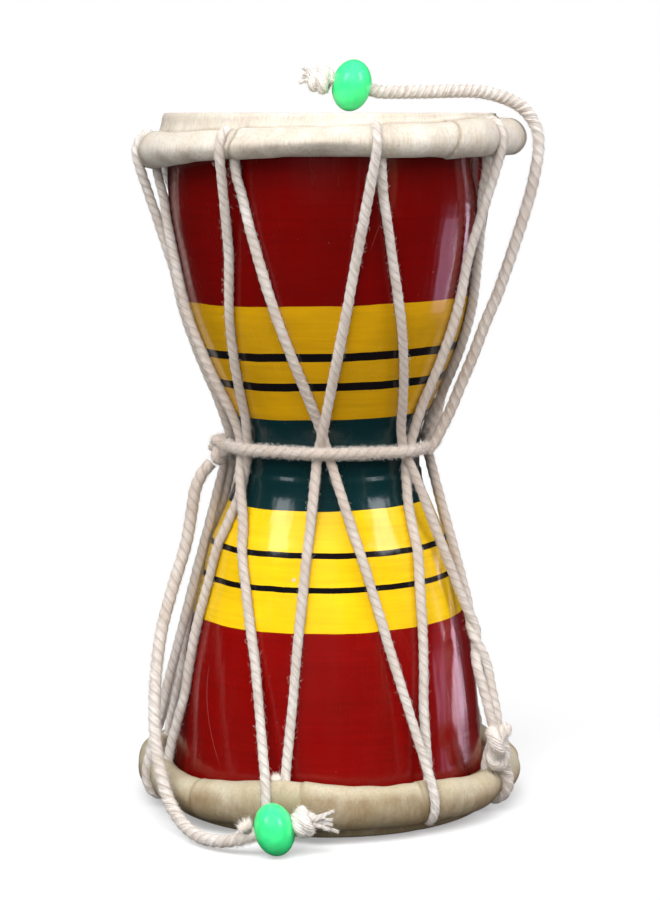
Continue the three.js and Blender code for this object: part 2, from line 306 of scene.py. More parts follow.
def new_mesh(name: str, vertices: np.ndarray, faces: list) -> bpy.types.Object:
    """A smooth-shaded object of vertices given in millimetres.

    Args:
        name: The object's name.
        vertices: The places of the vertices.
        faces: The vertex numbers of each face.

    Returns:
        The object, linked to the scene.
    """
    mesh = bpy.data.meshes.new(name)
    mesh.from_pydata((vertices * MM).tolist(), [], faces)
    mesh.polygons.foreach_set("use_smooth", np.ones(len(mesh.polygons), bool))
    mesh.update()
    made = bpy.data.objects.new(name, mesh)
    bpy.context.scene.collection.objects.link(made)
    return made


def joined(name: str, parts: list) -> bpy.types.Object:
    """Several objects joined into one.

    Args:
        name: The name of the whole.
        parts: The objects, the first of which the others join.

    Returns:
        The joined object.
    """
    deselect_all()
    for part in parts:
        part.select_set(True)
    bpy.context.view_layer.objects.active = parts[0]
    bpy.ops.object.join()
    parts[0].name = name
    parts[0].data.name = name
    return parts[0]


def dress(piece: bpy.types.Object, material: bpy.types.Material, slot: str, *nodes: str) -> None:
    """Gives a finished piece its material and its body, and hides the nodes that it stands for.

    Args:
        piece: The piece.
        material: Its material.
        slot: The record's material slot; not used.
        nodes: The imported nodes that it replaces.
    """
    piece.data.materials.clear()
    piece.data.materials.append(material)
    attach(piece, BODY)
    if nodes:
        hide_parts(*nodes)
    log.info("%s: %d faces", piece.name, len(piece.data.polygons))


def places_of(piece: bpy.types.Object) -> np.ndarray:
    """A mesh's vertices in millimetres.

    Args:
        piece: The mesh's object.

    Returns:
        Their places, one row each.
    """
    flat = np.empty(3 * len(piece.data.vertices), np.float32)
    piece.data.vertices.foreach_get("co", flat)
    return flat.reshape(-1, 3).astype(float) / MM


def set_places(piece: bpy.types.Object, places: np.ndarray) -> None:
    """Moves a mesh's vertices to places given in millimetres."""
    piece.data.vertices.foreach_set("co", (places * MM).astype(np.float32).ravel())
    piece.data.update()


def turned_shell(name: str, profile: np.ndarray, segments: int, capped: bool) -> bpy.types.Object:
    """A shell turned about Z: a ring of edges, extruded and scaled from mark to mark.

    Args:
        name: The object's name.
        profile: Radius and height of each ring, in millimetres.
        segments: How many sides the rings have.
        capped: Whether the first and last rings are filled. Otherwise the last one meets the first.

    Returns:
        The closed shell with its faces pointing out.
    """
    deselect_all()
    radius, height = profile[0] * MM
    fill = "TRIFAN" if capped else "NOTHING"
    bpy.ops.mesh.primitive_circle_add(vertices=segments, radius=radius, fill_type=fill,
                                      location=(0, 0, height))
    shell = bpy.context.active_object
    shell.name = name
    bpy.ops.object.transform_apply(location=True, rotation=True, scale=True)
    bpy.ops.object.mode_set(mode="EDIT")
    bpy.ops.mesh.select_mode(type="EDGE")
    bpy.ops.mesh.select_all(action="DESELECT")
    bpy.ops.mesh.select_non_manifold()
    for (r_before, z_before), (r, z) in pairwise(profile * MM):
        bpy.ops.mesh.extrude_edges_move(TRANSFORM_OT_translate={"value": (0, 0, z - z_before)})
        bpy.ops.transform.resize(value=(r / r_before, r / r_before, 1), center_override=(0, 0, z))
    if capped:
        bpy.ops.mesh.edge_face_add()
        bpy.ops.mesh.poke()
    bpy.ops.mesh.select_all(action="SELECT")
    bpy.ops.mesh.remove_doubles(threshold=2e-6)
    bpy.ops.mesh.normals_make_consistent(inside=False)
    bpy.ops.object.mode_set(mode="OBJECT")
    bpy.ops.object.shade_smooth_by_angle(angle=math.radians(40))
    return shell


@dataclass(frozen=True)
class Bench:
    """Lays out the nodes of one material."""

    material: bpy.types.Material

    @staticmethod
    def start(name: str) -> "Bench":
        """A bench with a new material of that name.

        Args:
            name: The material's name.

        Returns:
            The bench.
        """
        material = bpy.data.materials.new(name)
        material.use_nodes = True
        return Bench(material)

    @property
    def shader(self) -> bpy.types.ShaderNode:
        """The material's main shader."""
        return self.material.node_tree.nodes["Principled BSDF"]

    def node(self, kind: str, inputs: dict | None = None, **settings: object) -> bpy.types.ShaderNode:
        """A new node.

        Args:
            kind: The node's type, without its ShaderNode prefix.
            inputs: What goes into its sockets, by name or number: a value or another socket.
            settings: Its own options.

        Returns:
            The node.
        """
        made = self.material.node_tree.nodes.new("ShaderNode" + kind)
        for option, value in settings.items():
            setattr(made, option, value)
        for socket, value in (inputs or {}).items():
            self.feed(made.inputs[socket], value)
        return made

    def feed(self, socket: Socket, value: Feed) -> None:
        """Links a socket to another one, or sets its own value.

        Args:
            socket: The socket to feed.
            value: What goes into it.
        """
        if isinstance(value, Socket):
            self.material.node_tree.links.new(value, socket)
        else:
            socket.default_value = value

    def set(self, **values: Feed) -> None:
        """Feeds the main shader, with underscores for the spaces in its sockets' names."""
        for name, value in values.items():
            self.feed(self.shader.inputs[name.replace("_", " ")], value)

    def math(self, operation: str, *values: Feed) -> Socket:
        """A Math node's result."""
        return self.node("Math", dict(enumerate(values)), operation=operation).outputs[0]

    def mix(self, factor: Feed, first: Feed, second: Feed) -> Socket:
        """Two colours mixed."""
        return self.node("Mix", {0: factor, 6: first, 7: second}, data_type="RGBA").outputs[2]

    def span(self, value: Feed, low: float, high: float, to_low: Feed = 0, to_high: Feed = 1) -> Socket:
        """A value taken from one range to another, held at its ends."""
        inputs = {0: value, 1: low, 2: high, 3: to_low, 4: to_high}
        return self.node("MapRange", inputs, clamp=True).outputs[0]

    def place(self, stretch: tuple = (1, 1, 1)) -> Socket:
        """Object coordinates in millimetres, stretched along each axis.

        Args:
            stretch: How much each axis is stretched.

        Returns:
            The place's socket.
        """
        source = self.node("TexCoord").outputs["Object"]
        scale = tuple(share / MM for share in stretch)
        return self.node("VectorMath", {0: source, 1: scale}, operation="MULTIPLY").outputs[0]

    def axes(self, vector: Feed) -> tuple:
        """The three numbers of a vector."""
        return tuple(self.node("SeparateXYZ", {0: vector}).outputs)

    def noise(self, vector: Feed, scale: float, detail: float = 3, roughness: float = 0.55) -> Socket:
        """Soft noise from 0 to 1."""
        inputs = {"Vector": vector, "Scale": scale, "Detail": detail, "Roughness": roughness}
        return self.node("TexNoise", inputs).outputs["Fac"]

    def bump(self, height: Feed, distance: float, below: Feed | None = None) -> Socket:
        """A bump from a height, over another bump if one is given.

        Args:
            height: The socket with the height.
            distance: How far a height of 1 stands out, in millimetres.
            below: The normal to start from.

        Returns:
            The bumped normal.
        """
        inputs = {"Height": height, "Distance": distance * MM}
        if below is not None:
            inputs["Normal"] = below
        return self.node("Bump", inputs).outputs[0]


@dataclass(frozen=True)
class Scratch:
    """A long thin scratch in the lacquer, as a bow across the front of the body."""

    middle: float
    height: float
    reach: float
    lean: float
    bow: float
    width: float = 0.16


@dataclass(frozen=True)
class ScuffAndGlint:
    """A small pale mark at a place on the body, broken into flecks: a rub mark, and on the lemon band a
    painted glint as well.
    """

    place: tuple
    size: float


@dataclass(frozen=True)
class LacquerFinish:
    """Glossy lacquer put on in bands while the body turned."""

    bands: tuple = (
        (49.1, Paint.LEMON), (59.3, Paint.BLACK), (60.8, Paint.LEMON), (67.1, Paint.BLACK),
        (68.6, Paint.LEMON), (78.3, Paint.TEAL), (101.0, Paint.GOLD), (108.7, Paint.BLACK),
        (111.2, Paint.GOLD), (116.5, Paint.BLACK), (118.7, Paint.GOLD), (130.0, Paint.DEEP_RED))
    lowest: Paint = Paint.RED
    lower_tilt: float = 0.7
    upper_tilt: float = 1.5
    edge_waver: float = 0.35
    scratches: tuple = (Scratch(-30.5, 27, 13, -0.12, 0.012, 0.09),
                        Scratch(12, 150, 6, 0.4, 0.01, 0.06))
    scuffs_and_glints: tuple = (ScuffAndGlint((7.5, -26.3, 72.6), 0.9), ScuffAndGlint((-8.6, -30.5, 62.5), 1.4),
                     ScuffAndGlint((-21.5, -34.0, 153.5), 0.55))

    def banded(self, bench: Bench) -> Socket:
        """The colour of the bands, with their tilt and their slightly wavy edges.

        Args:
            bench: The bench of the lacquer.

        Returns:
            The colour's socket.
        """
        x, _, z = bench.axes(bench.place())
        tilt = bench.span(z, 70, 112, math.tan(math.radians(self.lower_tilt)),
                          math.tan(math.radians(self.upper_tilt)))
        waver = bench.noise(bench.place((0.05, 0.05, 0.015)), 1.6, 2)
        level = bench.math("SUBTRACT", z, bench.math("MULTIPLY", x, tilt))
        level = bench.math("ADD", level, bench.span(waver, 0, 1, -self.edge_waver, self.edge_waver))
        share = bench.math("DIVIDE", level, DRUM_HEIGHT)
        ramp = bench.node("ValToRGB", {0: share})
        ramp.color_ramp.interpolation = "CONSTANT"
        ramp.color_ramp.elements[0].color = self.lowest.value
        ramp.color_ramp.elements.remove(ramp.color_ramp.elements[1])
        for height, paint in self.bands:
            ramp.color_ramp.elements.new(height / DRUM_HEIGHT).color = paint.value
        return ramp.outputs[0]

    def scratches_and_glints(self, bench: Bench) -> Socket:
        """Where the scratches, the scuffs and the painted glints show, from 0 to 1.

        Args:
            bench: The bench of the lacquer.

        Returns:
            The share's socket.
        """
        spot = bench.place()
        x, y, z = bench.axes(spot)
        shown = bench.math("LESS_THAN", y, 0)
        marks = 0.0
        for scratch in self.scratches:
            rise = bench.math("SUBTRACT", z, scratch.height)
            line = bench.math("MULTIPLY_ADD", bench.math("MULTIPLY", rise, scratch.bow), rise,
                              bench.math("MULTIPLY_ADD", rise, scratch.lean, scratch.middle))
            off = bench.math("ABSOLUTE", bench.math("SUBTRACT", x, line))
            near = bench.span(off, scratch.width * 0.4, scratch.width, 0.1, 0)
            ends = bench.span(bench.math("ABSOLUTE", rise), scratch.reach * 0.7, scratch.reach, 1, 0)
            marks = bench.math("MAXIMUM", marks, bench.math("MULTIPLY", near, ends))
        flecks = bench.noise(bench.place((1, 1, 0.5)), 2.4, 4, 0.7)
        # Painted glints: the pale flecked spots on the lemon band stand for broken highlights as well as
        # rubs.
        for scuff in self.scuffs_and_glints:
            away = bench.node("VectorMath", {0: spot, 1: scuff.place}, operation="DISTANCE")
            near = bench.span(away.outputs["Value"], 0, scuff.size, 1, 0)
            broken = bench.span(bench.math("MULTIPLY", near, flecks), 0.28, 0.36)
            marks = bench.math("MAXIMUM", marks, bench.math("MULTIPLY", broken, 0.8))
        return bench.math("MULTIPLY", marks, shown)

    def material(self) -> bpy.types.Material:
        """The lacquer's material.

        Returns:
            The material.
        """
        bench = Bench.start("lacquer")
        spot = bench.place()
        brush = bench.noise(bench.place((0.06, 0.06, 1)), 1.1, 4, 0.6)
        cloud = bench.noise(spot, 0.045, 3)
        colour = bench.mix(bench.span(brush, 0.35, 0.7, 0, 0.16), self.banded(bench), (0, 0, 0, 1))
        colour = bench.mix(bench.span(cloud, 0.3, 0.75, 0, 0.22), colour, (0.02, 0.004, 0.002, 1))
        specks = bench.node("TexVoronoi", {"Vector": spot, "Scale": 0.55}, feature="F1")
        pick = bench.axes(specks.outputs["Color"])[0]
        rare = bench.math("GREATER_THAN", pick, 0.86)
        speck = bench.math("MULTIPLY", bench.math("LESS_THAN", specks.outputs["Distance"], 0.05), rare)
        colour = bench.mix(bench.math("MULTIPLY", speck, 0.5), colour, (0.75, 0.5, 0.4, 1))
        marks = self.scratches_and_glints(bench)
        # The pale colour of the scratches, the scuffs and the painted glints.
        colour = bench.mix(marks, colour, (0.72, 0.55, 0.48, 1))
        smear = bench.noise(bench.place((0.25, 0.25, 0.06)), 0.6, 4, 0.6)
        rough = bench.math("MULTIPLY_ADD", marks, 0.3, bench.span(smear, 0.35, 0.75, 0.16, 0.34))
        sags = bench.noise(bench.place((0.16, 0.16, 0.03)), 1, 2)
        grain = bench.noise(spot, 1.5, 3, 0.6)
        normal = bench.bump(sags, 0.3)
        normal = bench.bump(brush, 0.012, normal)
        normal = bench.bump(grain, 0.02, normal)
        normal = bench.bump(bench.math("MAXIMUM", speck, marks), 0.06, normal)
        bench.set(Base_Color=colour, Roughness=rough, Normal=normal, Coat_Weight=0.5,
                  Coat_Roughness=0.13, Specular_IOR_Level=0.25, Coat_Normal=normal)
        return bench.material


@dataclass(frozen=True)
class RawhideFinish:
    """Dry hide with fine hair lines, brown dirt in its creases and along its laps, and a darkening near the
    skin's side of its roll: grime, and on the base hoop painted shade along its underside.
    """

    name: str
    pale: tuple
    shade: tuple
    dirt_and_shade: tuple = (0.2, 0.135, 0.065, 1)
    soil: float = 0.6
    rim_grime_and_shade: float = 0.0

    def material(self) -> bpy.types.Material:
        """The hide's material, which reads the crease and edge attributes of the mesh.

        Returns:
            The material.
        """
        bench = Bench.start(self.name)
        spot = bench.place()
        crease = bench.node("Attribute", attribute_name="crease").outputs["Fac"]
        edge = bench.node("Attribute", attribute_name="edge").outputs["Fac"]
        hair = bench.noise(bench.place((1.6, 1.6, 0.18)), 1.4, 5, 0.65)
        cloud = bench.noise(spot, 0.11, 4, 0.6)
        stain = bench.noise(bench.place((0.3, 0.3, 0.16)), 0.5, 5, 0.7)
        colour = bench.mix(bench.span(cloud, 0.3, 0.7), self.pale, self.shade)
        colour = bench.mix(bench.span(hair, 0.45, 0.72, 0, 0.34), colour, self.dirt_and_shade)
        soiled = bench.math("MULTIPLY", edge, self.soil)
        soil = bench.math("MULTIPLY", bench.span(stain, 0.42, 0.7), soiled)
        colour = bench.mix(soil, colour, self.dirt_and_shade)
        # Painted shade and grime: darker near the skin's side of the roll, which on the base hoop is its
        # shaded underside.
        grime_and_shade = bench.span(edge, 0.2, 0.95, self.rim_grime_and_shade, 0)
        grime_and_shade = bench.math("MULTIPLY", grime_and_shade, bench.span(stain, 0.3, 0.6, 0.45, 1))
        colour = bench.mix(grime_and_shade, colour, self.dirt_and_shade)
        colour = bench.mix(bench.math("MULTIPLY", crease, 0.8), colour, self.dirt_and_shade)
        fibre = bench.noise(bench.place((2.6, 2.6, 0.4)), 2.2, 4, 0.7)
        normal = bench.bump(cloud, 0.45)
        normal = bench.bump(hair, 0.16, normal)
        normal = bench.bump(fibre, 0.07, normal)
        rough = bench.span(cloud, 0.3, 0.7, 0.52, 0.7)
        bench.set(Base_Color=colour, Roughness=rough, Normal=normal, Specular_IOR_Level=0.35,
                  Subsurface_Weight=0.12, Subsurface_Scale=0.002)
        return bench.material


@dataclass(frozen=True)
class CottonFinish:
    """Soft twisted cotton, whose yarns show along the plies, with painted shade in the grooves between the
    plies and towards the waist.
    """

    name: str
    groove_shade: float
    streaks: float
    pale: tuple = (0.81, 0.78, 0.74, 1)
    warm: tuple = (0.5, 0.395, 0.325, 1)
    # The colour of the painted shade in the grooves between the plies.
    crease: tuple = (0.26, 0.185, 0.145, 1)
    plies: int = 3
    yarns: float = 4
    slant: float = 0.16
    # How strongly the cotton is darkened as painted shade near the waist.
    waist_shade: float = 0.62

    def material(self) -> bpy.types.Material:
        """The cotton's material, which reads the cord's map of turns across and millimetres along.

        Returns:
            The material.
        """
        bench = Bench.start(self.name)
        spot = bench.place()
        across, along, _ = bench.axes(bench.node("TexCoord").outputs["UV"])
        ply = bench.math("MULTIPLY", across, self.plies)
        middle = bench.math("PINGPONG", ply, 0.5)
        groove = bench.span(middle, 0.0, 0.24, 1, 0)
        yarn = bench.math("MULTIPLY_ADD", along, self.slant, bench.math("MULTIPLY", ply, self.yarns))
        threads = bench.math("SINE", bench.math("MULTIPLY", yarn, 2 * math.pi))
        fluff = bench.noise(spot, 1.7, 5, 0.75)
        patch = bench.noise(spot, 0.13, 3)
        drawn = {0: bench.math("MULTIPLY", yarn, 1.7), 1: along, 2: ply}
        stretched = bench.node("CombineXYZ", drawn).outputs[0]
        streak = bench.span(bench.noise(stretched, 0.55, 3, 0.6), 0.42, 0.66, 0, self.streaks)
        colour = bench.mix(bench.span(patch, 0.4, 0.75, 0, 0.6), self.pale, self.warm)
        colour = bench.mix(bench.span(fluff, 0.45, 0.75, 0, 0.25), colour, self.warm)
        colour = bench.mix(streak, colour, self.warm)
        # Painted shade: warmer and darker towards the waist, where the body draws in under the belt.
        rise = bench.math("ABSOLUTE", bench.math("SUBTRACT", bench.axes(spot)[2], WAIST_HEIGHT))
        colour = bench.mix(bench.span(rise, 6, 64, self.waist_shade, 0), colour, self.warm)
        # Painted shade: the grooves between the plies darkened towards the crease colour.
        colour = bench.mix(bench.math("MULTIPLY", groove, self.groove_shade), colour, self.crease)
        normal = bench.bump(threads, 0.07)
        normal = bench.bump(fluff, 0.3, normal)
        bench.set(Base_Color=colour, Roughness=0.95, Normal=normal, Specular_IOR_Level=0.12,
                  Sheen_Weight=0.35, Sheen_Roughness=0.5)
        return bench.material


@dataclass(frozen=True)
class FluffFinish:
    """Loose cotton fibres."""

    name: str = "cotton_fluff"
    pale: tuple = (0.9, 0.86, 0.8, 1)
    warm: tuple = (0.78, 0.68, 0.6, 1)

    def material(self) -> bpy.types.Material:
        """The fibres' material.

        Returns:
            The material.
        """
        bench = Bench.start(self.name)
        tint = bench.span(bench.noise(bench.place(), 0.7, 3), 0.35, 0.65)
        colour = bench.mix(tint, self.pale, self.warm)
        bench.set(Base_Color=colour, Roughness=0.9, Specular_IOR_Level=0.1, Sheen_Weight=0.3)
        return bench.material


@dataclass(frozen=True)
class BeadFinish:
    """Glossy spring green plastic with a little light inside it."""

    bright: tuple = (0.07, 0.86, 0.3, 1)
    deep: tuple = (0.04, 0.74, 0.22, 1)

    def material(self) -> bpy.types.Material:
        """The bead's material.

        Returns:
            The material.
        """
        bench = Bench.start("bead_plastic")
        spot = bench.place()
        swirl = bench.noise(bench.place((0.4, 0.4, 0.4)), 0.5, 3)
        scuff = bench.noise(spot, 1.3, 4, 0.7)
        colour = bench.mix(bench.span(swirl, 0.35, 0.65), self.bright, self.deep)
        normal = bench.bump(bench.noise(spot, 0.35, 2), 0.12)
        normal = bench.bump(scuff, 0.012, normal)
        bench.set(Base_Color=colour, Roughness=bench.span(scuff, 0.4, 0.8, 0.17, 0.25), Normal=normal,
                  Subsurface_Weight=0.3, Subsurface_Scale=0.004, Specular_IOR_Level=0.5)
        return bench.material


@dataclass(frozen=True)
class Twist:
    """How a cord is laid: its radius, the length of one turn of a ply, and its cut into steps."""

    radius: float
    turn: float
    step: float
    plies: int = 3
    sides_per_ply: int = 4
    crease: float = 0.7


def frames_along(route: np.ndarray, closed: bool) -> tuple[np.ndarray, np.ndarray]:
    """Two directions square to a route at each of its places, turning as little as they can.

    Args:
        route: The places along the route.
        closed: Whether the route runs back into its start.

    Returns:
        The two arrays of directions.
    """
    if closed:
        ahead = np.roll(route, -1, 0) - np.roll(route, 1, 0)
    else:
        ahead = np.gradient(route, axis=0)
    ahead /= np.linalg.norm(ahead, axis=1)[:, None]
    side = np.empty_like(route)
    start = np.cross(ahead[0], [0.3, 0.9, 0.2])
    side[0] = start / np.linalg.norm(start)
    for i in range(1, len(route)):
        moved = side[i - 1] - ahead[i] * (side[i - 1] @ ahead[i])
        side[i] = moved / np.linalg.norm(moved)
    return side, np.cross(ahead, side)


def twisted_cord(name: str, route: np.ndarray, twist: Twist, closed: bool = False,
                 swell: np.ndarray | None = None, tight: np.ndarray | None = None) -> bpy.types.Object:
    """A cord of plies wound round each other along a route of even steps.

    Args:
        name: The object's name.
        route: The places along the middle of the cord.
        twist: How the cord is laid.
        closed: Whether the route runs back into its start.
        swell: How thick the cord is at each place, as a share of its radius.
        tight: How much tighter than usual the cord is wound at each place, on an open route.

    Returns:
        The closed tube, with a map of turns across and millimetres along.
    """
    count, sides = len(route), twist.plies * twist.sides_per_ply
    side, up = frames_along(route, closed)
    seam = 0.0
    if closed:
        seam = math.atan2(side[-1] @ up[0], side[-1] @ side[0])
    length = np.linalg.norm(np.diff(route, axis=0), axis=1).sum()
    turns = max(1, round(length / twist.turn)) if closed else length / twist.turn
    share = np.arange(count) / (count if closed else count - 1)
    columns = 2 * math.pi * np.arange(sides) / sides
    ply = np.abs(np.cos(columns * twist.plies / 2))
    lobed = twist.radius * (twist.crease + (1 - twist.crease) * ply ** 0.75)
    wound = share if tight is None else np.cumsum(tight) / count
    # The minus winds the plies to the left, seen along the cord
    angle = -2 * math.pi * turns * wound - seam * share
    turned = columns[None, :] + angle[:, None]
    size = lobed[None, :] * (np.ones(count) if swell is None else swell)[:, None]
    rings = (route[:, None, :] + side[:, None, :] * (np.cos(turned) * size)[:, :, None]
             + up[:, None, :] * (np.sin(turned) * size)[:, :, None])
    vertices = rings.reshape(-1, 3)
    rows = count if closed else count - 1
    row, column = np.meshgrid(np.arange(rows), np.arange(sides), indexing="ij")
    row, column = row.ravel(), column.ravel()
    after, beside = (row + 1) % count, (column + 1) % sides
    quads = np.column_stack([row * sides + column, row * sides + beside,
                             after * sides + beside, after * sides + column])
    travelled = length * share
    ends = np.append(travelled, length)
    low, high = travelled[row], ends[row + 1]
    left, right = column / sides, (column + 1) / sides
    marks = np.column_stack([left, low, right, low, right, high, left, high]).reshape(-1, 2)
    faces = quads.tolist()
    if not closed:
        vertices = np.vstack([vertices, route[0], route[-1]])
        first, last = count * sides, (count - 1) * sides
        faces += [[first, (i + 1) % sides, i] for i in range(sides)]
        faces += [[first + 1, last + i, last + (i + 1) % sides] for i in range(sides)]
        caps = [np.tile([0.5, end], (3 * sides, 1)) for end in (0, length)]
        marks = np.vstack([marks, *caps])
    made = new_mesh(name, vertices, faces)
    made.data.uv_layers.new(name="along").data.foreach_set("uv", marks.astype(np.float32).ravel())
    return made


def fibres(name: str, roots: np.ndarray, middles: np.ndarray, tips: np.ndarray,
           thickness: np.ndarray) -> bpy.types.Object:
    """Fine closed three-sided fibres, each bent at its middle and pointed at its tip.

    Args:
        name: The object's name.
        roots: Where each fibre starts.
        middles: The place that its middle is drawn towards.
        tips: Where each fibre ends.
        thickness: The radius of each fibre at its root.

    Returns:
        One mesh with all the fibres.
    """
    ahead = tips - roots
    side = np.cross(ahead, np.array([0.31, 0.52, 0.79]))
    side /= np.maximum(np.linalg.norm(side, axis=1), 1e-9)[:, None]
    up = np.cross(ahead, side)
    up /= np.maximum(np.linalg.norm(up, axis=1), 1e-9)[:, None]
    rings = []
    for share, width in ((0, 1), (0.5, 0.85)):
        centre = (1 - share) ** 2 * roots + 2 * share * (1 - share) * middles + share ** 2 * tips
        for turn in range(3):
            angle = 2 * math.pi * turn / 3
            outward = side * math.cos(angle) + up * math.sin(angle)
            rings.append(centre + outward * (thickness * width)[:, None])
    vertices = np.stack([*rings, tips], axis=1).reshape(-1, 3)
    shape = [(2, 1, 0), (0, 1, 4, 3), (1, 2, 5, 4), (2, 0, 3, 5), (3, 4, 6), (4, 5, 6), (5, 3, 6)]
    faces = [tuple(7 * fibre + corner for corner in face)
             for fibre in range(len(roots)) for face in shape]
    return new_mesh(name, vertices, faces)


def cord_fluff(name: str, route: np.ndarray, radius: float, count: int, reach: float,
               random: np.random.Generator, thickness: float = 0.024) -> bpy.types.Object:
    """Loose fibres that stand off a cord.

    Args:
        name: The object's name.
        route: The places along the cord.
        radius: The cord's radius.
        count: How many fibres there are.
        reach: How long the longest fibres are.
        random: The source of their places.
        thickness: The radius of a fibre at its root.

    Returns:
        One mesh with all the fibres.
    """
    side, up = frames_along(route, False)
    at = random.integers(1, len(route) - 1, count)
    turn = random.uniform(0, 2 * math.pi, count)
    outward = side[at] * np.cos(turn)[:, None] + up[at] * np.sin(turn)[:, None]
    ahead = route[at] - route[at - 1]
    ahead /= np.linalg.norm(ahead, axis=1)[:, None]
    ahead *= random.choice([-1, 1], count)[:, None]
    across = np.cross(ahead, outward)
    length = reach * random.uniform(0.3, 1, count)[:, None]
    lift = random.uniform(0.12, 0.75, count)[:, None]
    sway = random.uniform(-0.5, 0.5, count)[:, None]
    roots = route[at] + outward * radius * 0.8
    middles = roots + outward * (radius * 0.3 + length * lift * 0.6) + ahead * length * 0.3
    tips = (roots + outward * (radius * 0.25 + length * lift * 0.8) + ahead * length * 0.8
            + across * length * sway)
    return fibres(name, roots, middles, tips, thickness * random.uniform(0.7, 1.2, count))


def tuft(name: str, base: np.ndarray, direction: np.ndarray, count: int, length: float, spread: float,
         random: np.random.Generator, thickness: float = 0.06) -> bpy.types.Object:
    """A tuft of fibres that fan out from one place.

    Args:
        name: The object's name.
        base: Where the tuft starts.
        direction: The way that it points.
        count: How many fibres there are.
        length: How long they are.
        spread: How far the tips stand off the middle line.
        random: The source of their places.
        thickness: The radius of a fibre at its root.

    Returns:
        One mesh with all the fibres.
    """
    ahead = direction / np.linalg.norm(direction)
    side = np.cross(ahead, [0.2, 0.3, 0.93])
    side /= np.linalg.norm(side)
    up = np.cross(ahead, side)
    angle = random.uniform(0, 2 * math.pi, count)
    away = np.sqrt(random.uniform(0, 1, count))
    outward = side * np.cos(angle)[:, None] + up * np.sin(angle)[:, None]
    reach = length * random.uniform(0.55, 1, count)[:, None]
    roots = base + outward * (away * spread * 0.35)[:, None]
    tips = base + ahead * reach + outward * (away * spread)[:, None]
    tips += random.normal(0, 0.09 * length, (count, 3))
    bulge = away * spread * random.uniform(0.3, 0.8, count)
    middles = base + ahead * reach * 0.5 + outward * bulge[:, None]
    return fibres(name, roots, middles, tips, thickness * random.uniform(0.7, 1.3, count))


@dataclass
class DrumBody:
    """The turned wooden body, hollow right through."""

    finish: LacquerFinish
    rim_wall: float = 4.5
    waist_wall: float = 8.5
    rim_rounding: float = 1.0
    segments: int = 160
    ridges: tuple = ((85.9, 0.5, 4.2, 0.45), (90.7, 0.16, 0.6, 0.6), (102.6, 0.1, 0.9, 0.9))

    def profile(self) -> np.ndarray:
        """Radius and height of the body's rings: up its outside, over the rim and down its bore.

        Returns:
            One row for each ring.
        """
        rounding = np.radians(np.linspace(0, 90, 6))
        inset = MOUTH_RADIUS - self.rim_rounding * (1 - np.cos(rounding))
        drop = self.rim_rounding * (1 - np.sin(rounding))
        lower = np.column_stack([inset[::-1], RIM_LOW + drop[::-1]])
        upper = np.column_stack([inset, RIM_HIGH - drop])
        heights = np.linspace(lower[-1, 1], upper[0, 1], 240)[1:-1]
        outer = np.column_stack([body_radius(heights), heights])
        for height, rise, below, above in self.ridges:
            width = np.where(heights < height, below, above)
            outer[:, 0] += rise * np.exp(-((heights - height) / width) ** 2)
        bore = OUTLINE[::-2]
        share = (MOUTH_RADIUS - bore[:, 0]) / (MOUTH_RADIUS - WAIST_RADIUS)
        wall = self.rim_wall + (self.waist_wall - self.rim_wall) * share
        inner = np.column_stack([bore[:, 0] - wall, bore[:, 1]])
        whole = np.vstack([lower, outer, upper, inner])
        return np.vstack([whole, whole[:1]])

    def build(self) -> None:
        """Builds and dresses the body."""
        body = turned_shell("lacquered_body", self.profile(), self.segments, False)
        dress(body, self.finish.material(), "lacquered_wood", "drum_body")


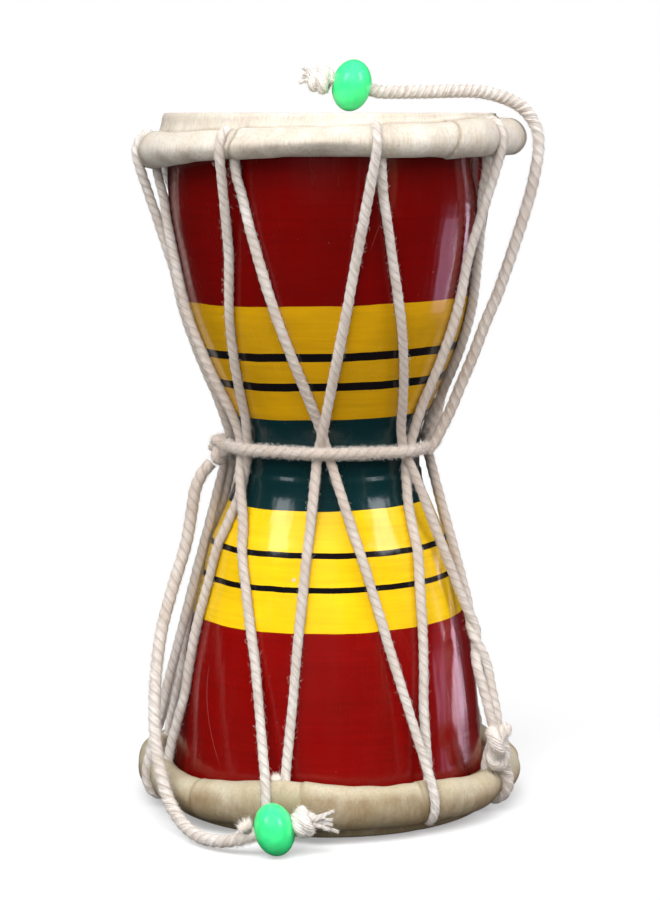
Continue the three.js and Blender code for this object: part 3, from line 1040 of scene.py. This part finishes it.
@dataclass
class HoopShape:
    """How a hand-made hoop departs from a true ring: drawn in at its holes, uneven between them.

    Each browned stretch has its first and last angle, and how far its pale edge draws back.
    """

    side: Side
    holes: tuple
    lifts: tuple
    seams: tuple
    seed: int
    tilt: float = 0.0
    seam_slant: float = 0.3
    browned: tuple = ()
    width: float = 8.5
    height: float = 10.3
    drop: float = 3.1
    skin: float = 0.8
    ledge: float = 0.1
    lacing_radius: float = LACING_RADIUS
    pinch: float = 1.2
    pinch_span: float = 7.0
    groove: float = 0.75
    groove_span: float = 2.1
    seam_step: float = 0.3
    seam_fade: float = 7.0
    dimple: float = 0.7
    lumps: np.ndarray = field(init=False)

    def __post_init__(self) -> None:
        """Draws the hoop's own lumps: how often, how far round the roll, how high, from where."""
        random = np.random.default_rng(self.seed)
        counts = random.integers(3, 40, 22).astype(float)
        self.lumps = np.column_stack([counts, random.integers(-2, 3, 22), 0.55 / (counts + 3),
                                      random.uniform(0, 2 * math.pi, 22)])

    @property
    def inner_radius(self) -> float:
        """The hoop's inner radius, clear of the body."""
        return MOUTH_RADIUS + FIT_GAP

    @property
    def middle(self) -> np.ndarray:
        """The middle of the roll's section, as radius and depth."""
        return np.array([self.inner_radius + self.width / 2, self.drop + self.height / 2])

    @property
    def underside(self) -> float:
        """The depth of the roll's far edge."""
        return self.drop + self.height

    @property
    def pierce_radius(self) -> float:
        """How far from the axis the lacing holes are."""
        return self.inner_radius + self.skin + self.lacing_radius + FIT_GAP + self.ledge

    def warped(self, places: np.ndarray, lumpy: bool) -> np.ndarray:
        """Places near the hoop moved as the hoop is out of true.

        Args:
            places: The places to move.
            lumpy: Whether the small lumps, grooves and seams of the skin move them too.

        Returns:
            The moved places.
        """
        angles = angles_of(places)
        radii = np.hypot(places[:, 0], places[:, 1])
        depths = self.side.height(places[:, 2].copy())
        outward = smoothstep(radii, self.pierce_radius - 1, self.inner_radius + self.width)
        for hole in self.holes:
            gap = angle_gap(angles, hole)
            radii = radii - self.pinch * outward * np.exp(-(gap / self.pinch_span) ** 2)
            if lumpy:
                radii = radii - self.groove * outward * np.exp(-(gap / self.groove_span) ** 2)
                dip = np.exp(-(gap / 2.2) ** 2 - ((radii - self.pierce_radius) / 1.7) ** 2)
                depths = depths + self.dimple * dip * (depths < self.middle[1])
        marks, rises = zip(*self.lifts)
        shifts = (-5, -2, 2, 5)
        lift = sum(np.interp(angles + shift, marks, rises, period=360) for shift in shifts) / len(shifts)
        on_roll = smoothstep(radii, self.inner_radius + 0.2, self.inner_radius + 1.6)
        lift = lift * smoothstep(depths, self.drop + 1, self.underside)
        depths = depths + (lift - self.tilt * np.sin(np.radians(angles))) * on_roll
        if lumpy:
            turn = np.arctan2(self.middle[1] - depths, radii - self.middle[0])
            lump = sum(high * np.sin(np.radians(angles) * often + turn * round_roll + start)
                       for often, round_roll, high, start in self.lumps)
            lump += self.seam_rise(self.leaning(angles, depths))
            radii = radii + lump * np.cos(turn) * on_roll
            depths = depths - lump * np.sin(turn) * on_roll
        heights = self.side.height(depths)
        turns = np.radians(angles)
        return np.column_stack([radii * np.sin(turns), -radii * np.cos(turns), heights])

    def leaning(self, angles: np.ndarray, depths: np.ndarray) -> np.ndarray:
        """Angles shifted with the depth, because the laps lean."""
        return angles + self.seam_slant * (depths - self.middle[1])

    def seam_rise(self, angles: np.ndarray) -> np.ndarray:
        """How far the skin stands out where one end of it laps over the next.

        Args:
            angles: The angles, shifted with the laps.

        Returns:
            How far it stands out at each angle.
        """
        rise = np.zeros_like(angles)
        for seam in self.seams:
            gap = angle_gap(angles, seam)
            rise += self.seam_step * np.where(gap >= 0, np.exp(-gap / self.seam_fade), 0)
        return rise


@dataclass
class DrumHead:
    """A rawhide skin over one mouth, lapped round its hoop."""

    name: str
    node: str
    shape: HoopShape
    finish: RawhideFinish
    edge_rounding: float = 1.1
    segments: int = 480
    roll_steps: int = 40

    def profile(self) -> np.ndarray:
        """Radius and height of the rings: across the skin, round the hoop and back underneath.

        Returns:
            One row for each ring.
        """
        shape, side = self.shape, self.shape.side
        skin_radius = shape.inner_radius + shape.skin
        flat = [(radius, 0) for radius in (1.5, 8, 16, 24, 31, 36, 39)]
        rounding = [(skin_radius - self.edge_rounding * (1 - math.sin(turn)),
                     self.edge_rounding * (1 - math.cos(turn)))
                    for turn in np.radians(np.linspace(0, 90, 7))]
        crease = [(skin_radius + 0.12, 1.7), (skin_radius + 0.5, 2.5), (skin_radius + 1.0, 3.2)]
        turns = np.radians(np.linspace(112, -180, self.roll_steps))
        roll = [(shape.middle[0] + shape.width / 2 * math.cos(turn),
                 shape.middle[1] - shape.height / 2 * math.sin(turn)) for turn in turns]
        under = [(shape.inner_radius, 3), (shape.inner_radius, shape.skin)]
        inside = [(radius, shape.skin) for radius in (36, 24, 12, 1.5)]
        rings = [*flat, *rounding, *crease, *roll, *under, *inside]
        return np.array([(radius, side.height(depth)) for radius, depth in rings])

    def build(self) -> None:
        """Builds, warps and dresses the head."""
        head = turned_shell(self.name, self.profile(), self.segments, True)
        places = places_of(head)
        angles = angles_of(places)
        radii = np.hypot(places[:, 0], places[:, 1])
        depths = self.shape.side.height(places[:, 2])
        laps = self.shape.leaning(angles, depths)
        seam = sum(np.exp(-(angle_gap(laps, mark) / 0.5) ** 2) for mark in self.shape.seams)
        beside = sum(np.exp(-((np.abs(angle_gap(angles, hole)) - 2.4) / 0.9) ** 2)
                     for hole in self.shape.holes)
        valley = np.exp(-((radii - 43.1) / 0.6) ** 2) * (depths > 2.6) * (depths < 6)
        on_roll = smoothstep(radii, self.shape.inner_radius + 0.5, self.shape.inner_radius + 2)
        crease = np.clip((0.8 * seam + 0.2 * beside) * on_roll + 0.6 * valley, 0, 1)
        edge = smoothstep(depths, self.shape.drop + 2, self.shape.underside) * on_roll
        for start, end, power in self.shape.browned:
            inside = smoothstep(laps, start, start + 1) * smoothstep(-laps, -end, 4 - end)
            edge = edge ** (1 + power * inside)
        set_places(head, self.shape.warped(places, True))
        for name, values in (("crease", crease), ("edge", edge)):
            layer = head.data.attributes.new(name, "FLOAT", "POINT")
            layer.data.foreach_set("value", values.astype(np.float32))
        dress(head, self.finish.material(), "rawhide", self.node)


@dataclass
class Lacing:
    """The one cord that runs to and fro between the hoops, and the knot of its ends."""

    top: HoopShape
    base: HoopShape
    finish: CottonFinish
    fluff: FluffFinish
    twist: Twist
    belt_height: float = BELT_HEIGHT
    clearance: float = 0.1
    rises: tuple = (-6.0, 4.6, -4.2, 4.0, -4.5, 5.0, -4.0, 4.4, -4.8)
    right_over: tuple = (True, False, True, False, True, False, True, False, True)
    top_leans: tuple = ((0, 0), (-0.8, 0.8), (-2.0, 1.0), (0, 1.5), (6, 1), *((-2, 2),) * 4)
    base_leans: tuple = ((-2, 2), (-1.7, 2.3), (0.3, 2.0), (3.0, 0), *((-2, 2),) * 5)
    bend_turns: tuple = (105, 90, 75, 60, 45, 30, 15, 0, -15, -28)
    tied_hole: int = 3
    tie: tuple = ((35.6, -15.2, 51.5), (42.3, -21.8, 23.5))
    knot: tuple = (42.9, -22.2, 18.6)
    knot_scale: tuple = (1.2, 1.0, 1.75)
    knot_twist: Twist = Twist(1.85, 8, 0.6, crease=0.84)
    strand_fibres: int = 15500
    knot_fibres: int = 1800
    stray_place: tuple = (-17.2, 44.4, 14.2)
    stray_fibres: int = 520

    def hoop_bend(self, shape: HoopShape, hole: int) -> list:
        """The cord in its hole and over the hoop to its outer side.

        Args:
            shape: The hoop.
            hole: The number of the hole.

        Returns:
            Its places, from the hole on.
        """
        degrees = shape.holes[hole]
        lean = (self.top_leans if shape is self.top else self.base_leans)[hole][0]
        radius = self.twist.radius
        width = shape.width / 2 + radius - 0.75
        height = shape.height / 2 + radius - 0.55
        depths = (shape.middle[1], shape.drop + radius + FIT_GAP)
        in_hole = [point(degrees, shape.pierce_radius, shape.side.height(depth)) for depth in depths]
        over = [point(degrees + lean, shape.middle[0] + width * math.cos(turn),
                      shape.side.height(shape.middle[1] - height * math.sin(turn)))
                for turn in np.radians(self.bend_turns)]
        return [*in_hole, *over]

    def hoop_entry(self, shape: HoopShape, hole: int) -> list:
        """The cord where it rises under a hoop into its hole.

        Args:
            shape: The hoop.
            hole: The number of the hole.

        Returns:
            Its places, up to the hole.
        """
        leans = self.top_leans if shape is self.top else self.base_leans
        degrees = shape.holes[hole] + leans[hole][1]
        depths = (shape.underside + 1, shape.underside - 3)
        return [point(degrees, shape.pierce_radius, shape.side.height(depth)) for depth in depths]

    def crossing(self, number: int, goes_right: bool) -> list:
        """The stops of one strand at the waist, from the top down.

        Args:
            number: Which crossing.
            goes_right: Whether the strand runs to the right on its way down.

        Returns:
            Its places at the belt and where it crosses the other strand, the higher one first.
        """
        degrees, rise = WAIST_CROSSINGS[number], self.rises[number]
        radius = self.twist.radius
        over = goes_right == self.right_over[number]
        height = self.belt_height + rise
        ground = float(body_radius(height)) + radius + self.clearance
        cross = point(degrees, ground + (2 * radius - 0.5 if over else 0), height)
        beside = math.degrees(radius / (WAIST_RADIUS + radius))
        on_right = goes_right == (rise > 0)
        off_axis = float(body_radius(self.belt_height)) + radius + self.clearance
        at_belt = point(degrees + (beside if on_right else -beside), off_axis, self.belt_height)
        return [cross, at_belt] if rise > 0 else [at_belt, cross]

    def tied_pair(self, first: bool) -> list:
        """One of the two strands that wind round each other and run on to the knot of the ends.

        Args:
            first: Whether it is the first of the two.

        Returns:
            Its places, from the top down.
        """
        start, end = (np.array(place, float) for place in self.tie)
        axis = (end - start) / np.linalg.norm(end - start)
        side = np.cross(axis, [0, 0, 1.0])
        side /= np.linalg.norm(side)
        out = np.cross(side, axis)
        stops = []
        for share in np.linspace(0, 1, 15):
            turn = 2 * math.pi * 0.9 * min(share / 0.42, 1) + (0 if first else math.pi) + 0.35
            apart = self.twist.radius * (0.82 + 0.5 * math.exp(-((share - 0.5) / 0.1) ** 2))
            centre = start + (end - start) * share
            stops.append(centre + apart * (side * math.cos(turn) + out * math.sin(turn)))
        return stops

    def route(self) -> np.ndarray:
        """The whole cord's closed route, loop after loop, laid on the body and the hoops.

        Returns:
            The places along the cord.
        """
        count = len(TOP_HOLES)
        stops = []
        hole = 0
        for _ in range(count):
            left, left_top = (hole - 1) % count, (hole - 2) % count
            over_top = self.top.warped(np.array(self.hoop_bend(self.top, hole)), False)
            over_base = self.base.warped(np.array(self.hoop_bend(self.base, left)), False)
            tied = left == self.tied_hole
            stops += [*over_top, *self.crossing(left, False)]
            stops += self.tied_pair(False) if tied else []
            stops += [*self.hoop_entry(self.base, left), *over_base]
            stops += self.tied_pair(True)[::-1] if tied else []
            stops += [*self.crossing(left_top, True)[::-1], *self.hoop_entry(self.top, left_top)]
            hole = left_top
        route = even_steps(np.array(stops), 1, True)
        for rounds in (6, 3, 2):
            route = kept_off_body(eased(route, rounds, True), self.twist.radius + self.clearance)
        return even_steps(route, self.twist.step, True)

    def knot_route(self) -> np.ndarray:
        """The closed route of the knot of the ends, pulled tight against the body."""
        turns = np.linspace(0, 2 * math.pi, 60, endpoint=False)
        return even_steps(overhand_knot(np.array(self.knot), turns, self.knot_scale), self.twist.step, True)

    def build(self, random: np.random.Generator) -> None:
        """Builds and dresses the lacing and its loose fibres.

        Args:
            random: The source of the fibres' places.
        """
        route, knot = self.route(), self.knot_route()
        steps = np.arange(len(route))
        swell = 1 + 0.04 * np.sin(steps * 0.021) + 0.03 * np.sin(steps * 0.137)
        loop = point(self.base.holes[self.tied_hole] + 3, self.base.middle[0] + 4, 8)
        swell += 0.4 * np.exp(-(np.linalg.norm(route - loop, axis=1) / 5.5) ** 2)
        cord = twisted_cord("laced_strands", route, self.twist, True, swell)
        lacing = joined("lacing", [cord, twisted_cord("lacing_knot", knot, self.knot_twist, True)])
        dress(lacing, self.finish.material(), "cotton_cord", "lacing_cord")
        fluff = joined("lacing_fluff", [
            cord_fluff("strand_fluff", route, self.twist.radius, self.strand_fibres, 1.5, random),
            cord_fluff("knot_fluff", knot, 1.7, self.knot_fibres, 1.6, random),
            tuft("stray_fluff", point(*self.stray_place), np.array([0.1, -0.5, 1.0]),
                 self.stray_fibres, 2.7, 1.6, random, 0.04)])
        dress(fluff, self.fluff.material(), "cotton_cord")


@dataclass
class WaistBelt:
    """The cord tied round the waist over the lacing, with its knot on the left."""

    finish: CottonFinish
    fluff: FluffFinish
    twist: Twist
    lacing_radius: float = LACING_RADIUS
    height: float = BELT_HEIGHT
    support_span: float = 5.0
    knot_angle: float = -77.5
    knot_radius: float = 28.6
    knot_drop: float = 1.0
    knot_scale: tuple = (1.0, 1.2, 1.05)
    round_fibres: int = 9000
    knot_fibres: int = 1500

    def route(self) -> np.ndarray:
        """The belt's closed route, taut from crossing to crossing.

        Returns:
            The places along the belt.
        """
        line = float(body_radius(self.height)) + 2 * self.lacing_radius + self.twist.radius - 0.1
        stops = []
        for number, degrees in enumerate(WAIST_CROSSINGS):
            height = self.height + 0.35 * math.sin(2.1 * number)
            stops += [point(degrees + reach, line, height)
                      for reach in (-self.support_span, self.support_span)]
        route = eased(even_steps(np.array(stops), 0.8, True), 14, True)
        return even_steps(kept_off_body(route, self.twist.radius), self.twist.step, True)

    def knot_route(self) -> np.ndarray:
        """The route of the belt's knot, pulled tight over the strands and open between its ends.

        Returns:
            The places along its cord.
        """
        centre = point(self.knot_angle, self.knot_radius, self.height - self.knot_drop)
        turns = np.linspace(-0.2, 2 * math.pi - 0.45, 60)
        return even_steps(overhand_knot(centre, turns, self.knot_scale), self.twist.step)

    def build(self, random: np.random.Generator) -> None:
        """Builds and dresses the belt and its loose fibres.

        Args:
            random: The source of the fibres' places.
        """
        route, knot = self.route(), self.knot_route()
        belt = joined("belt", [twisted_cord("belt_round", route, self.twist, True),
                               twisted_cord("belt_knot", knot, self.twist)])
        dress(belt, self.finish.material(), "cotton_cord", "waist_belt")
        fluff = joined("belt_fluff", [
            cord_fluff("round_fluff", route, self.twist.radius, self.round_fibres, 1.7, random, 0.03),
            cord_fluff("knot_fluff", knot, self.twist.radius, self.knot_fibres, 2.0, random, 0.03)])
        dress(fluff, self.fluff.material(), "cotton_cord")


@dataclass
class Striker:
    """A free cord from the belt, its bead, and the knot with its frayed end."""

    name: str
    route: tuple
    bead_centre: tuple
    direction: tuple
    cotton: CottonFinish
    loose: CottonFinish
    fluff: FluffFinish
    plastic: BeadFinish
    twist: Twist
    seed: int
    bead_radius: float = 6.4
    bead_length: float = 9.3
    knot_turns: float = 2.1
    knot_radius: float = 2.5
    knot_length: float = 4.8
    tassel_length: float = 6.5
    tassel_lift: float = 0.0
    fan: float = 2.3
    yarns: int = 6
    yarn: Twist = Twist(0.75, 4.5, 0.3, 2, 5, 0.8)
    knot_fibres: int = 900
    cord_fibres: int = 4000
    top_swell: float = 1.0
    collar: bool = False

    @property
    def aim(self) -> np.ndarray:
        """The way from the cord through the bead, as a unit direction."""
        way = np.array(self.direction, float)
        return way / np.linalg.norm(way)

    def along(self, distance: float) -> np.ndarray:
        """A place on the bead's axis at a distance from its centre."""
        return np.array(self.bead_centre) + self.aim * distance

    def axes(self) -> tuple[np.ndarray, np.ndarray]:
        """Two directions square to the bead's axis, the second of them near the vertical.

        Returns:
            The two unit directions.
        """
        side = np.cross([0, 0, 1.0], self.aim)
        side /= np.linalg.norm(side)
        return side, np.cross(self.aim, side)

    def cord_route(self) -> np.ndarray:
        """The middle of the cord from the belt to the far face of the bead."""
        ends = [self.along(share * self.bead_length) for share in (-0.5, 0, 0.5)]
        return even_steps(spline_points([*self.route, *ends], 12), self.twist.step)

    def cord(self, material: bpy.types.Material) -> bpy.types.Object:
        """The cord's own tube.

        Args:
            material: The cotton.

        Returns:
            The finished cord.
        """
        route = self.cord_route()
        lying = smoothstep(route[:, 2], DRUM_HEIGHT - 4, DRUM_HEIGHT + 3)
        swell, tight = 1 + (self.top_swell - 1) * lying, 1 + 0.7 * lying
        cord = twisted_cord(f"{self.name}_twist", route, self.twist, False, swell, tight)
        dress(cord, material, "cotton_cord", f"{self.name}_cord")
        return cord

    def bead(self) -> bpy.types.Object:
        """The bead: a ball, flattened along its hole, cut at both ends and bored through.

        Returns:
            The finished bead.
        """
        deselect_all()
        hole = self.twist.radius + 0.3
        ends = self.bead_length / 2 * MM
        reach = math.acos(hole / self.bead_radius)
        bpy.ops.mesh.primitive_uv_sphere_add(segments=64, ring_count=48, radius=self.bead_radius * MM)
        bead = bpy.context.active_object
        bead.name = f"{self.name}_bead_shell"
        bpy.ops.object.mode_set(mode="EDIT")
        bpy.ops.mesh.select_all(action="SELECT")
        flatten = self.bead_length / 2 / (self.bead_radius * math.sin(reach))
        bpy.ops.transform.resize(value=(1, 1, flatten), center_override=(0, 0, 0))
        for end, cut in ((ends, {"clear_outer": True}), (-ends, {"clear_inner": True})):
            bpy.ops.mesh.select_all(action="SELECT")
            bpy.ops.mesh.bisect(plane_co=(0, 0, end * 0.999), plane_no=(0, 0, 1), **cut)
        bpy.ops.mesh.select_mode(type="EDGE")
        bpy.ops.mesh.select_all(action="DESELECT")
        bpy.ops.mesh.select_non_manifold()
        bpy.ops.mesh.bridge_edge_loops(number_cuts=6)
        bpy.ops.mesh.select_all(action="SELECT")
        bpy.ops.mesh.normals_make_consistent(inside=False)
        bpy.ops.object.mode_set(mode="OBJECT")
        rounded = bead.modifiers.new("rim", "BEVEL")
        rounded.width, rounded.segments, rounded.limit_method = 0.45 * MM, 3, "ANGLE"
        rounded.angle_limit = math.radians(45)
        bpy.ops.object.modifier_apply(modifier=rounded.name)
        bead.rotation_mode = "QUATERNION"
        bead.rotation_quaternion = Vector(self.aim).to_track_quat("Z", "Y")
        bead.location = Vector(self.bead_centre) * MM
        bpy.ops.object.transform_apply(location=True, rotation=True, scale=True)
        bpy.ops.object.shade_smooth()
        dress(bead, self.plastic.material(), "green_bead", f"{self.name}_bead")
        return bead

    def knot_route(self) -> np.ndarray:
        """The knot's turns round the axis, from the bead's hole to the neck of the tassel.

        Returns:
            The places along the knot.
        """
        side, up = self.axes()
        shares = np.linspace(0, 1, 70)
        start = self.bead_length / 2 + FIT_GAP
        away = self.knot_radius * np.sin(np.pi * shares) ** 0.35
        turn = 2 * math.pi * self.knot_turns * shares + 0.6
        forth = start + 1.0 + (self.knot_length - 1.2) * smoothstep(shares, 0.02, 0.98)
        rings = [self.along(f) + side * a * math.cos(t) + up * a * math.sin(t)
                 for f, a, t in zip(forth, away, turn)]
        ends = self.along(start), self.along(start + self.knot_length + 0.8)
        return even_steps(np.array([ends[0], *rings[2:-2], ends[1]]), self.twist.step)

    def opened_end(self) -> list[np.ndarray]:
        """The yarns of the frayed end, fanned out flat beyond the knot.

        Returns:
            The route of each yarn.
        """
        side, up = self.axes()
        ahead = self.aim + np.array([0, 0, self.tassel_lift])
        ahead /= np.linalg.norm(ahead)
        neck = self.along(self.bead_length / 2 + FIT_GAP + self.knot_length - 0.6)
        routes = []
        for number in range(self.yarns):
            lean = 2 * number / (self.yarns - 1) - 1
            out = up * lean + side * 0.4 * math.cos(2.4 * number)
            reach = self.tassel_length * (0.8 + 0.2 * math.sin(2.7 * number + 1))
            marks = [neck + out * 0.5, neck + ahead * reach * 0.3 + out * self.fan * 0.3,
                     neck + ahead * reach * 0.65 + out * self.fan * 0.62,
                     neck + ahead * reach + out * self.fan]
            routes.append(even_steps(spline_points(marks, 8), 0.3))
        return routes

    def knot(self, material: bpy.types.Material) -> bpy.types.Object:
        """The knot and the opened yarns beyond it.

        Args:
            material: The loose cotton.

        Returns:
            The finished knot.
        """
        parts = [twisted_cord(f"{self.name}_turns", eased(self.knot_route(), 2), self.twist)]
        for number, route in enumerate(self.opened_end()):
            thin = 1 - 0.35 * smoothstep(np.linspace(0, 1, len(route)), 0.3, 1)
            parts.append(twisted_cord(f"{self.name}_yarn_{number}", route, self.yarn, False, thin))
        knot = joined(f"{self.name}_stopper", parts)
        dress(knot, material, "cotton_cord", f"{self.name}_knot")
        return knot

    def fray(self, random: np.random.Generator) -> bpy.types.Object:
        """The loose fibres of the cord, the knot and the frayed end.

        Args:
            random: The source of their places.

        Returns:
            The finished fibres.
        """
        name, radius, cord = self.name, self.twist.radius, self.cord_route()
        parts = [cord_fluff(f"{name}_knot_fluff", self.knot_route(), radius, self.knot_fibres, 1.1, random),
                 cord_fluff(f"{name}_cord_fluff", cord, radius, self.cord_fibres, 1.2, random)]
        for number, route in enumerate(self.opened_end()):
            tip, ahead = route[-3], route[-1] - route[-4]
            parts.append(tuft(f"{name}_tip_{number}", tip, ahead, 70, 1.3, 0.6, random, 0.045))
            parts.append(cord_fluff(f"{name}_yarn_fluff_{number}", route, 0.5, 60, 0.9, random, 0.03))
        if self.collar:
            lump = self.along(-self.bead_length / 2 - 1.8) + np.array([0, -0.6, 1.0])
            up = np.array([-0.45, -0.2, 1])
            parts.append(tuft(f"{name}_lump", lump, up, 420, 4.0, 2.4, random, 0.035))
            parts.append(cord_fluff(f"{name}_collar_fluff", cord[-34:-20], radius, 900, 1.6, random))
        fray = joined(f"{name}_fray", parts)
        dress(fray, self.fluff.material(), "cotton_cord")
        return fray

    def build(self) -> None:
        """Builds and dresses the striker."""
        random = np.random.default_rng(self.seed)
        cotton = self.cotton.material()
        cord, bead = self.cord(cotton), self.bead()
        knot, fray = self.knot(self.loose.material()), self.fray(random)


@dataclass(frozen=True)
class AreaLamp:
    """A soft lamp: its direction from the drum, its distance, its size and its power.

    The direction is an angle round the drum and one above the floor. A lamp that isn't mirrored
    lights the drum without a highlight of its own on the lacquer.
    """

    name: str
    round_drum: float
    above: float
    distance: float
    size: tuple
    power: float
    colour: tuple = (1, 1, 1)
    mirrored: bool = True


@dataclass
class Studio:
    """The pale floor, the soft lights and the camera."""

    eye: tuple = (0.00025, -0.6331, 0.17705)
    pitch: float = 82.24
    lens: float = 99.05
    aim_height: float = 0.09
    floor_size: float = 24
    floor_colour: tuple = (0.93, 0.93, 0.94, 1)
    lamps: tuple = (
        AreaLamp("ceiling", -12, 50, 1.1, (1.0, 0.8), 15, (1, 0.99, 0.98), False),
        AreaLamp("front", -10, 14, 1.2, (0.8, 0.7), 6.3, (1, 0.97, 0.94), False),
        AreaLamp("right", 80, 24, 1, (0.4, 0.5), 2.6, (1, 0.95, 0.92), False),
        AreaLamp("pane_left", -58, 38, 1, (0.3, 0.46), 2.7, (0.93, 0.97, 1)),
        AreaLamp("pane_right", 64, 36, 1, (0.34, 0.46), 3, (0.93, 0.97, 1)),
        AreaLamp("strip_low", 44, 8, 0.6, (0.04, 0.3), 0.035, (1, 0.7, 0.4)),
        AreaLamp("strip_front", 97, -11, 0.6, (0.13, 0.13), 0.11, (1, 0.66, 1)),
        AreaLamp("strip_middle", 115, -8, 0.6, (0.18, 0.16), 0.46, (1, 0.76, 0.95)),
        AreaLamp("strip_back", 108, 1, 0.6, (0.04, 0.12), 0.045, (1, 0.8, 0.92)))

    def floor(self) -> None:
        """The plain floor, which fades to the backdrop's white far from the drum."""
        deselect_all()
        bpy.ops.mesh.primitive_plane_add(size=self.floor_size, location=(0, 0, -0.0002))
        floor = bpy.context.active_object
        floor.name = "floor"
        floor.visible_glossy = False
        bench = Bench.start("floor_paint")
        spot = bench.place()
        away = bench.node("VectorMath", {0: spot}, operation="LENGTH").outputs["Value"]
        far = bench.span(away, 48, 125, 0.3, 1)
        seen = bench.node("LightPath").outputs["Is Camera Ray"]
        tone = bench.noise(spot, 0.002, 2)
        faded = bench.math("MULTIPLY", far, seen)
        colour = bench.mix(bench.span(tone, 0.3, 0.7, 0, 0.03), self.floor_colour, (0.88, 0.88, 0.89, 1))
        colour = bench.mix(faded, colour, (0, 0, 0, 1))
        colour = bench.mix(seen, (0.16, 0.16, 0.16, 1), colour)
        bench.set(Base_Color=colour, Roughness=0.9, Specular_IOR_Level=0, Emission_Color=(1, 1, 1, 1),
                  Emission_Strength=faded)
        floor.data.materials.append(bench.material)

    def sky(self) -> None:
        """Even dim light from all round, dimmer in the lacquer, and a white backdrop."""
        world = bpy.data.worlds.new("studio")
        world.use_nodes = True
        bpy.context.scene.world = world
        nodes, links = world.node_tree.nodes, world.node_tree.links
        rays = nodes.new("ShaderNodeLightPath")
        shown = nodes["Background"]
        shown.inputs["Color"].default_value = (0.96, 0.97, 1, 1)
        shown.inputs["Strength"].default_value = 0.3
        for ray, strength in (("Is Glossy Ray", 0.015), ("Is Camera Ray", 1.0)):
            other, either = nodes.new("ShaderNodeBackground"), nodes.new("ShaderNodeMixShader")
            other.inputs["Color"].default_value = (1, 1, 1, 1)
            other.inputs["Strength"].default_value = strength
            links.new(rays.outputs[ray], either.inputs[0])
            links.new(shown.outputs[0], either.inputs[1])
            links.new(other.outputs[0], either.inputs[2])
            shown = either
        links.new(shown.outputs[0], nodes["World Output"].inputs["Surface"])

    def lamp(self, lamp: AreaLamp) -> None:
        """Sets up one lamp.

        Args:
            lamp: What the lamp is and where it stands.
        """
        data = bpy.data.lights.new(lamp.name, "AREA")
        data.shape, data.size, data.size_y = "RECTANGLE", *lamp.size
        data.energy, data.color = lamp.power, lamp.colour
        made = bpy.data.objects.new(lamp.name, data)
        bpy.context.scene.collection.objects.link(made)
        above = math.radians(lamp.above)
        way = Vector(point(lamp.round_drum, math.cos(above), math.sin(above)))
        made.location = Vector((0, 0, self.aim_height)) + way * lamp.distance
        made.rotation_euler = (-way).to_track_quat("-Z", "Y").to_euler()
        made.visible_glossy = lamp.mirrored

    def camera(self) -> None:
        """Sets up the camera at the angle from which the drum is seen."""
        data = bpy.data.cameras.new("camera")
        data.lens, data.sensor_width = self.lens, 36
        camera = bpy.data.objects.new("camera", data)
        bpy.context.scene.collection.objects.link(camera)
        camera.location = self.eye
        camera.rotation_euler = (math.radians(self.pitch), 0, 0)
        bpy.context.scene.camera = camera

    def build(self) -> None:
        """Builds the camera, the floor and the lights."""
        self.camera()
        self.floor()
        self.sky()
        for lamp in self.lamps:
            self.lamp(lamp)
        bpy.context.scene.view_settings.view_transform = "Standard"


def main() -> None:
    """Builds the studio and the drum, piece by piece, and logs how many faces each piece has."""
    logging.basicConfig(level=logging.INFO, format="%(name)s %(message)s")
    Studio().build()
    soft, corded = CottonFinish("lacing_cotton", 0.4, 0.6), CottonFinish("striker_cotton", 0.5, 0.65)
    opened = CottonFinish("opened_cotton", 0.4, 0.3, (0.88, 0.85, 0.81, 1), (0.7, 0.61, 0.54, 1),
                          waist_shade=0)
    fluff, plastic = FluffFinish(), BeadFinish()
    finishes = corded, opened, fluff, plastic
    Striker("upper_striker", UPPER_STRIKER_ROUTE, (5.6, -15, DRUM_HEIGHT + FIT_GAP + 6.4), (-4.8, -0.3, 1),
            *finishes, Twist(1.5, 8.4, 0.45, sides_per_ply=6, crease=0.82), seed=11,
            tassel_length=3.6, fan=1.9, top_swell=1.14).build()
    Striker("base_striker", BASE_STRIKER_ROUTE, (-13.1, -56.5, 6.55), (4.65, 0, 1.2),
            *finishes, Twist(1.6, 8, 0.45, sides_per_ply=6, crease=0.84), seed=12, knot_length=3.6,
            tassel_length=7, tassel_lift=-0.3, fan=2.6, collar=True).build()
    DrumBody(LacquerFinish()).build()
    top = HoopShape(Side.TOP, TOP_HOLES, TOP_LIFTS, TOP_LAPS, seed=3, tilt=1.8)
    base = HoopShape(Side.BASE, BASE_HOLES, BASE_LIFTS, BASE_LAPS, seed=4, seam_slant=0.1,
                     browned=((-7.5, 29, 4.5), (-43.5, -30, 2.0)))
    clean = RawhideFinish("rawhide_top", (0.76, 0.725, 0.67, 1), (0.64, 0.585, 0.5, 1), soil=0.5, rim_grime_and_shade=0.3)
    # The base hide: a darker, yellower hide, with strong painted shade along the underside of its roll.
    grimy_and_shaded = RawhideFinish("rawhide_base", (0.54, 0.49, 0.37, 1), (0.42, 0.36, 0.24, 1), soil=0.15,
                          rim_grime_and_shade=0.85)
    DrumHead("top_skin", "top_head", top, clean).build()
    DrumHead("base_skin", "base_head", base, grimy_and_shaded).build()
    random = np.random.default_rng(5)
    Lacing(top, base, soft, fluff, Twist(1.28, 7.6, 0.75, crease=0.84)).build(random)
    WaistBelt(soft, fluff, Twist(1.4, 8.0, 0.5, sides_per_ply=5, crease=0.84)).build(random)


if __name__ == "__main__":
    main()
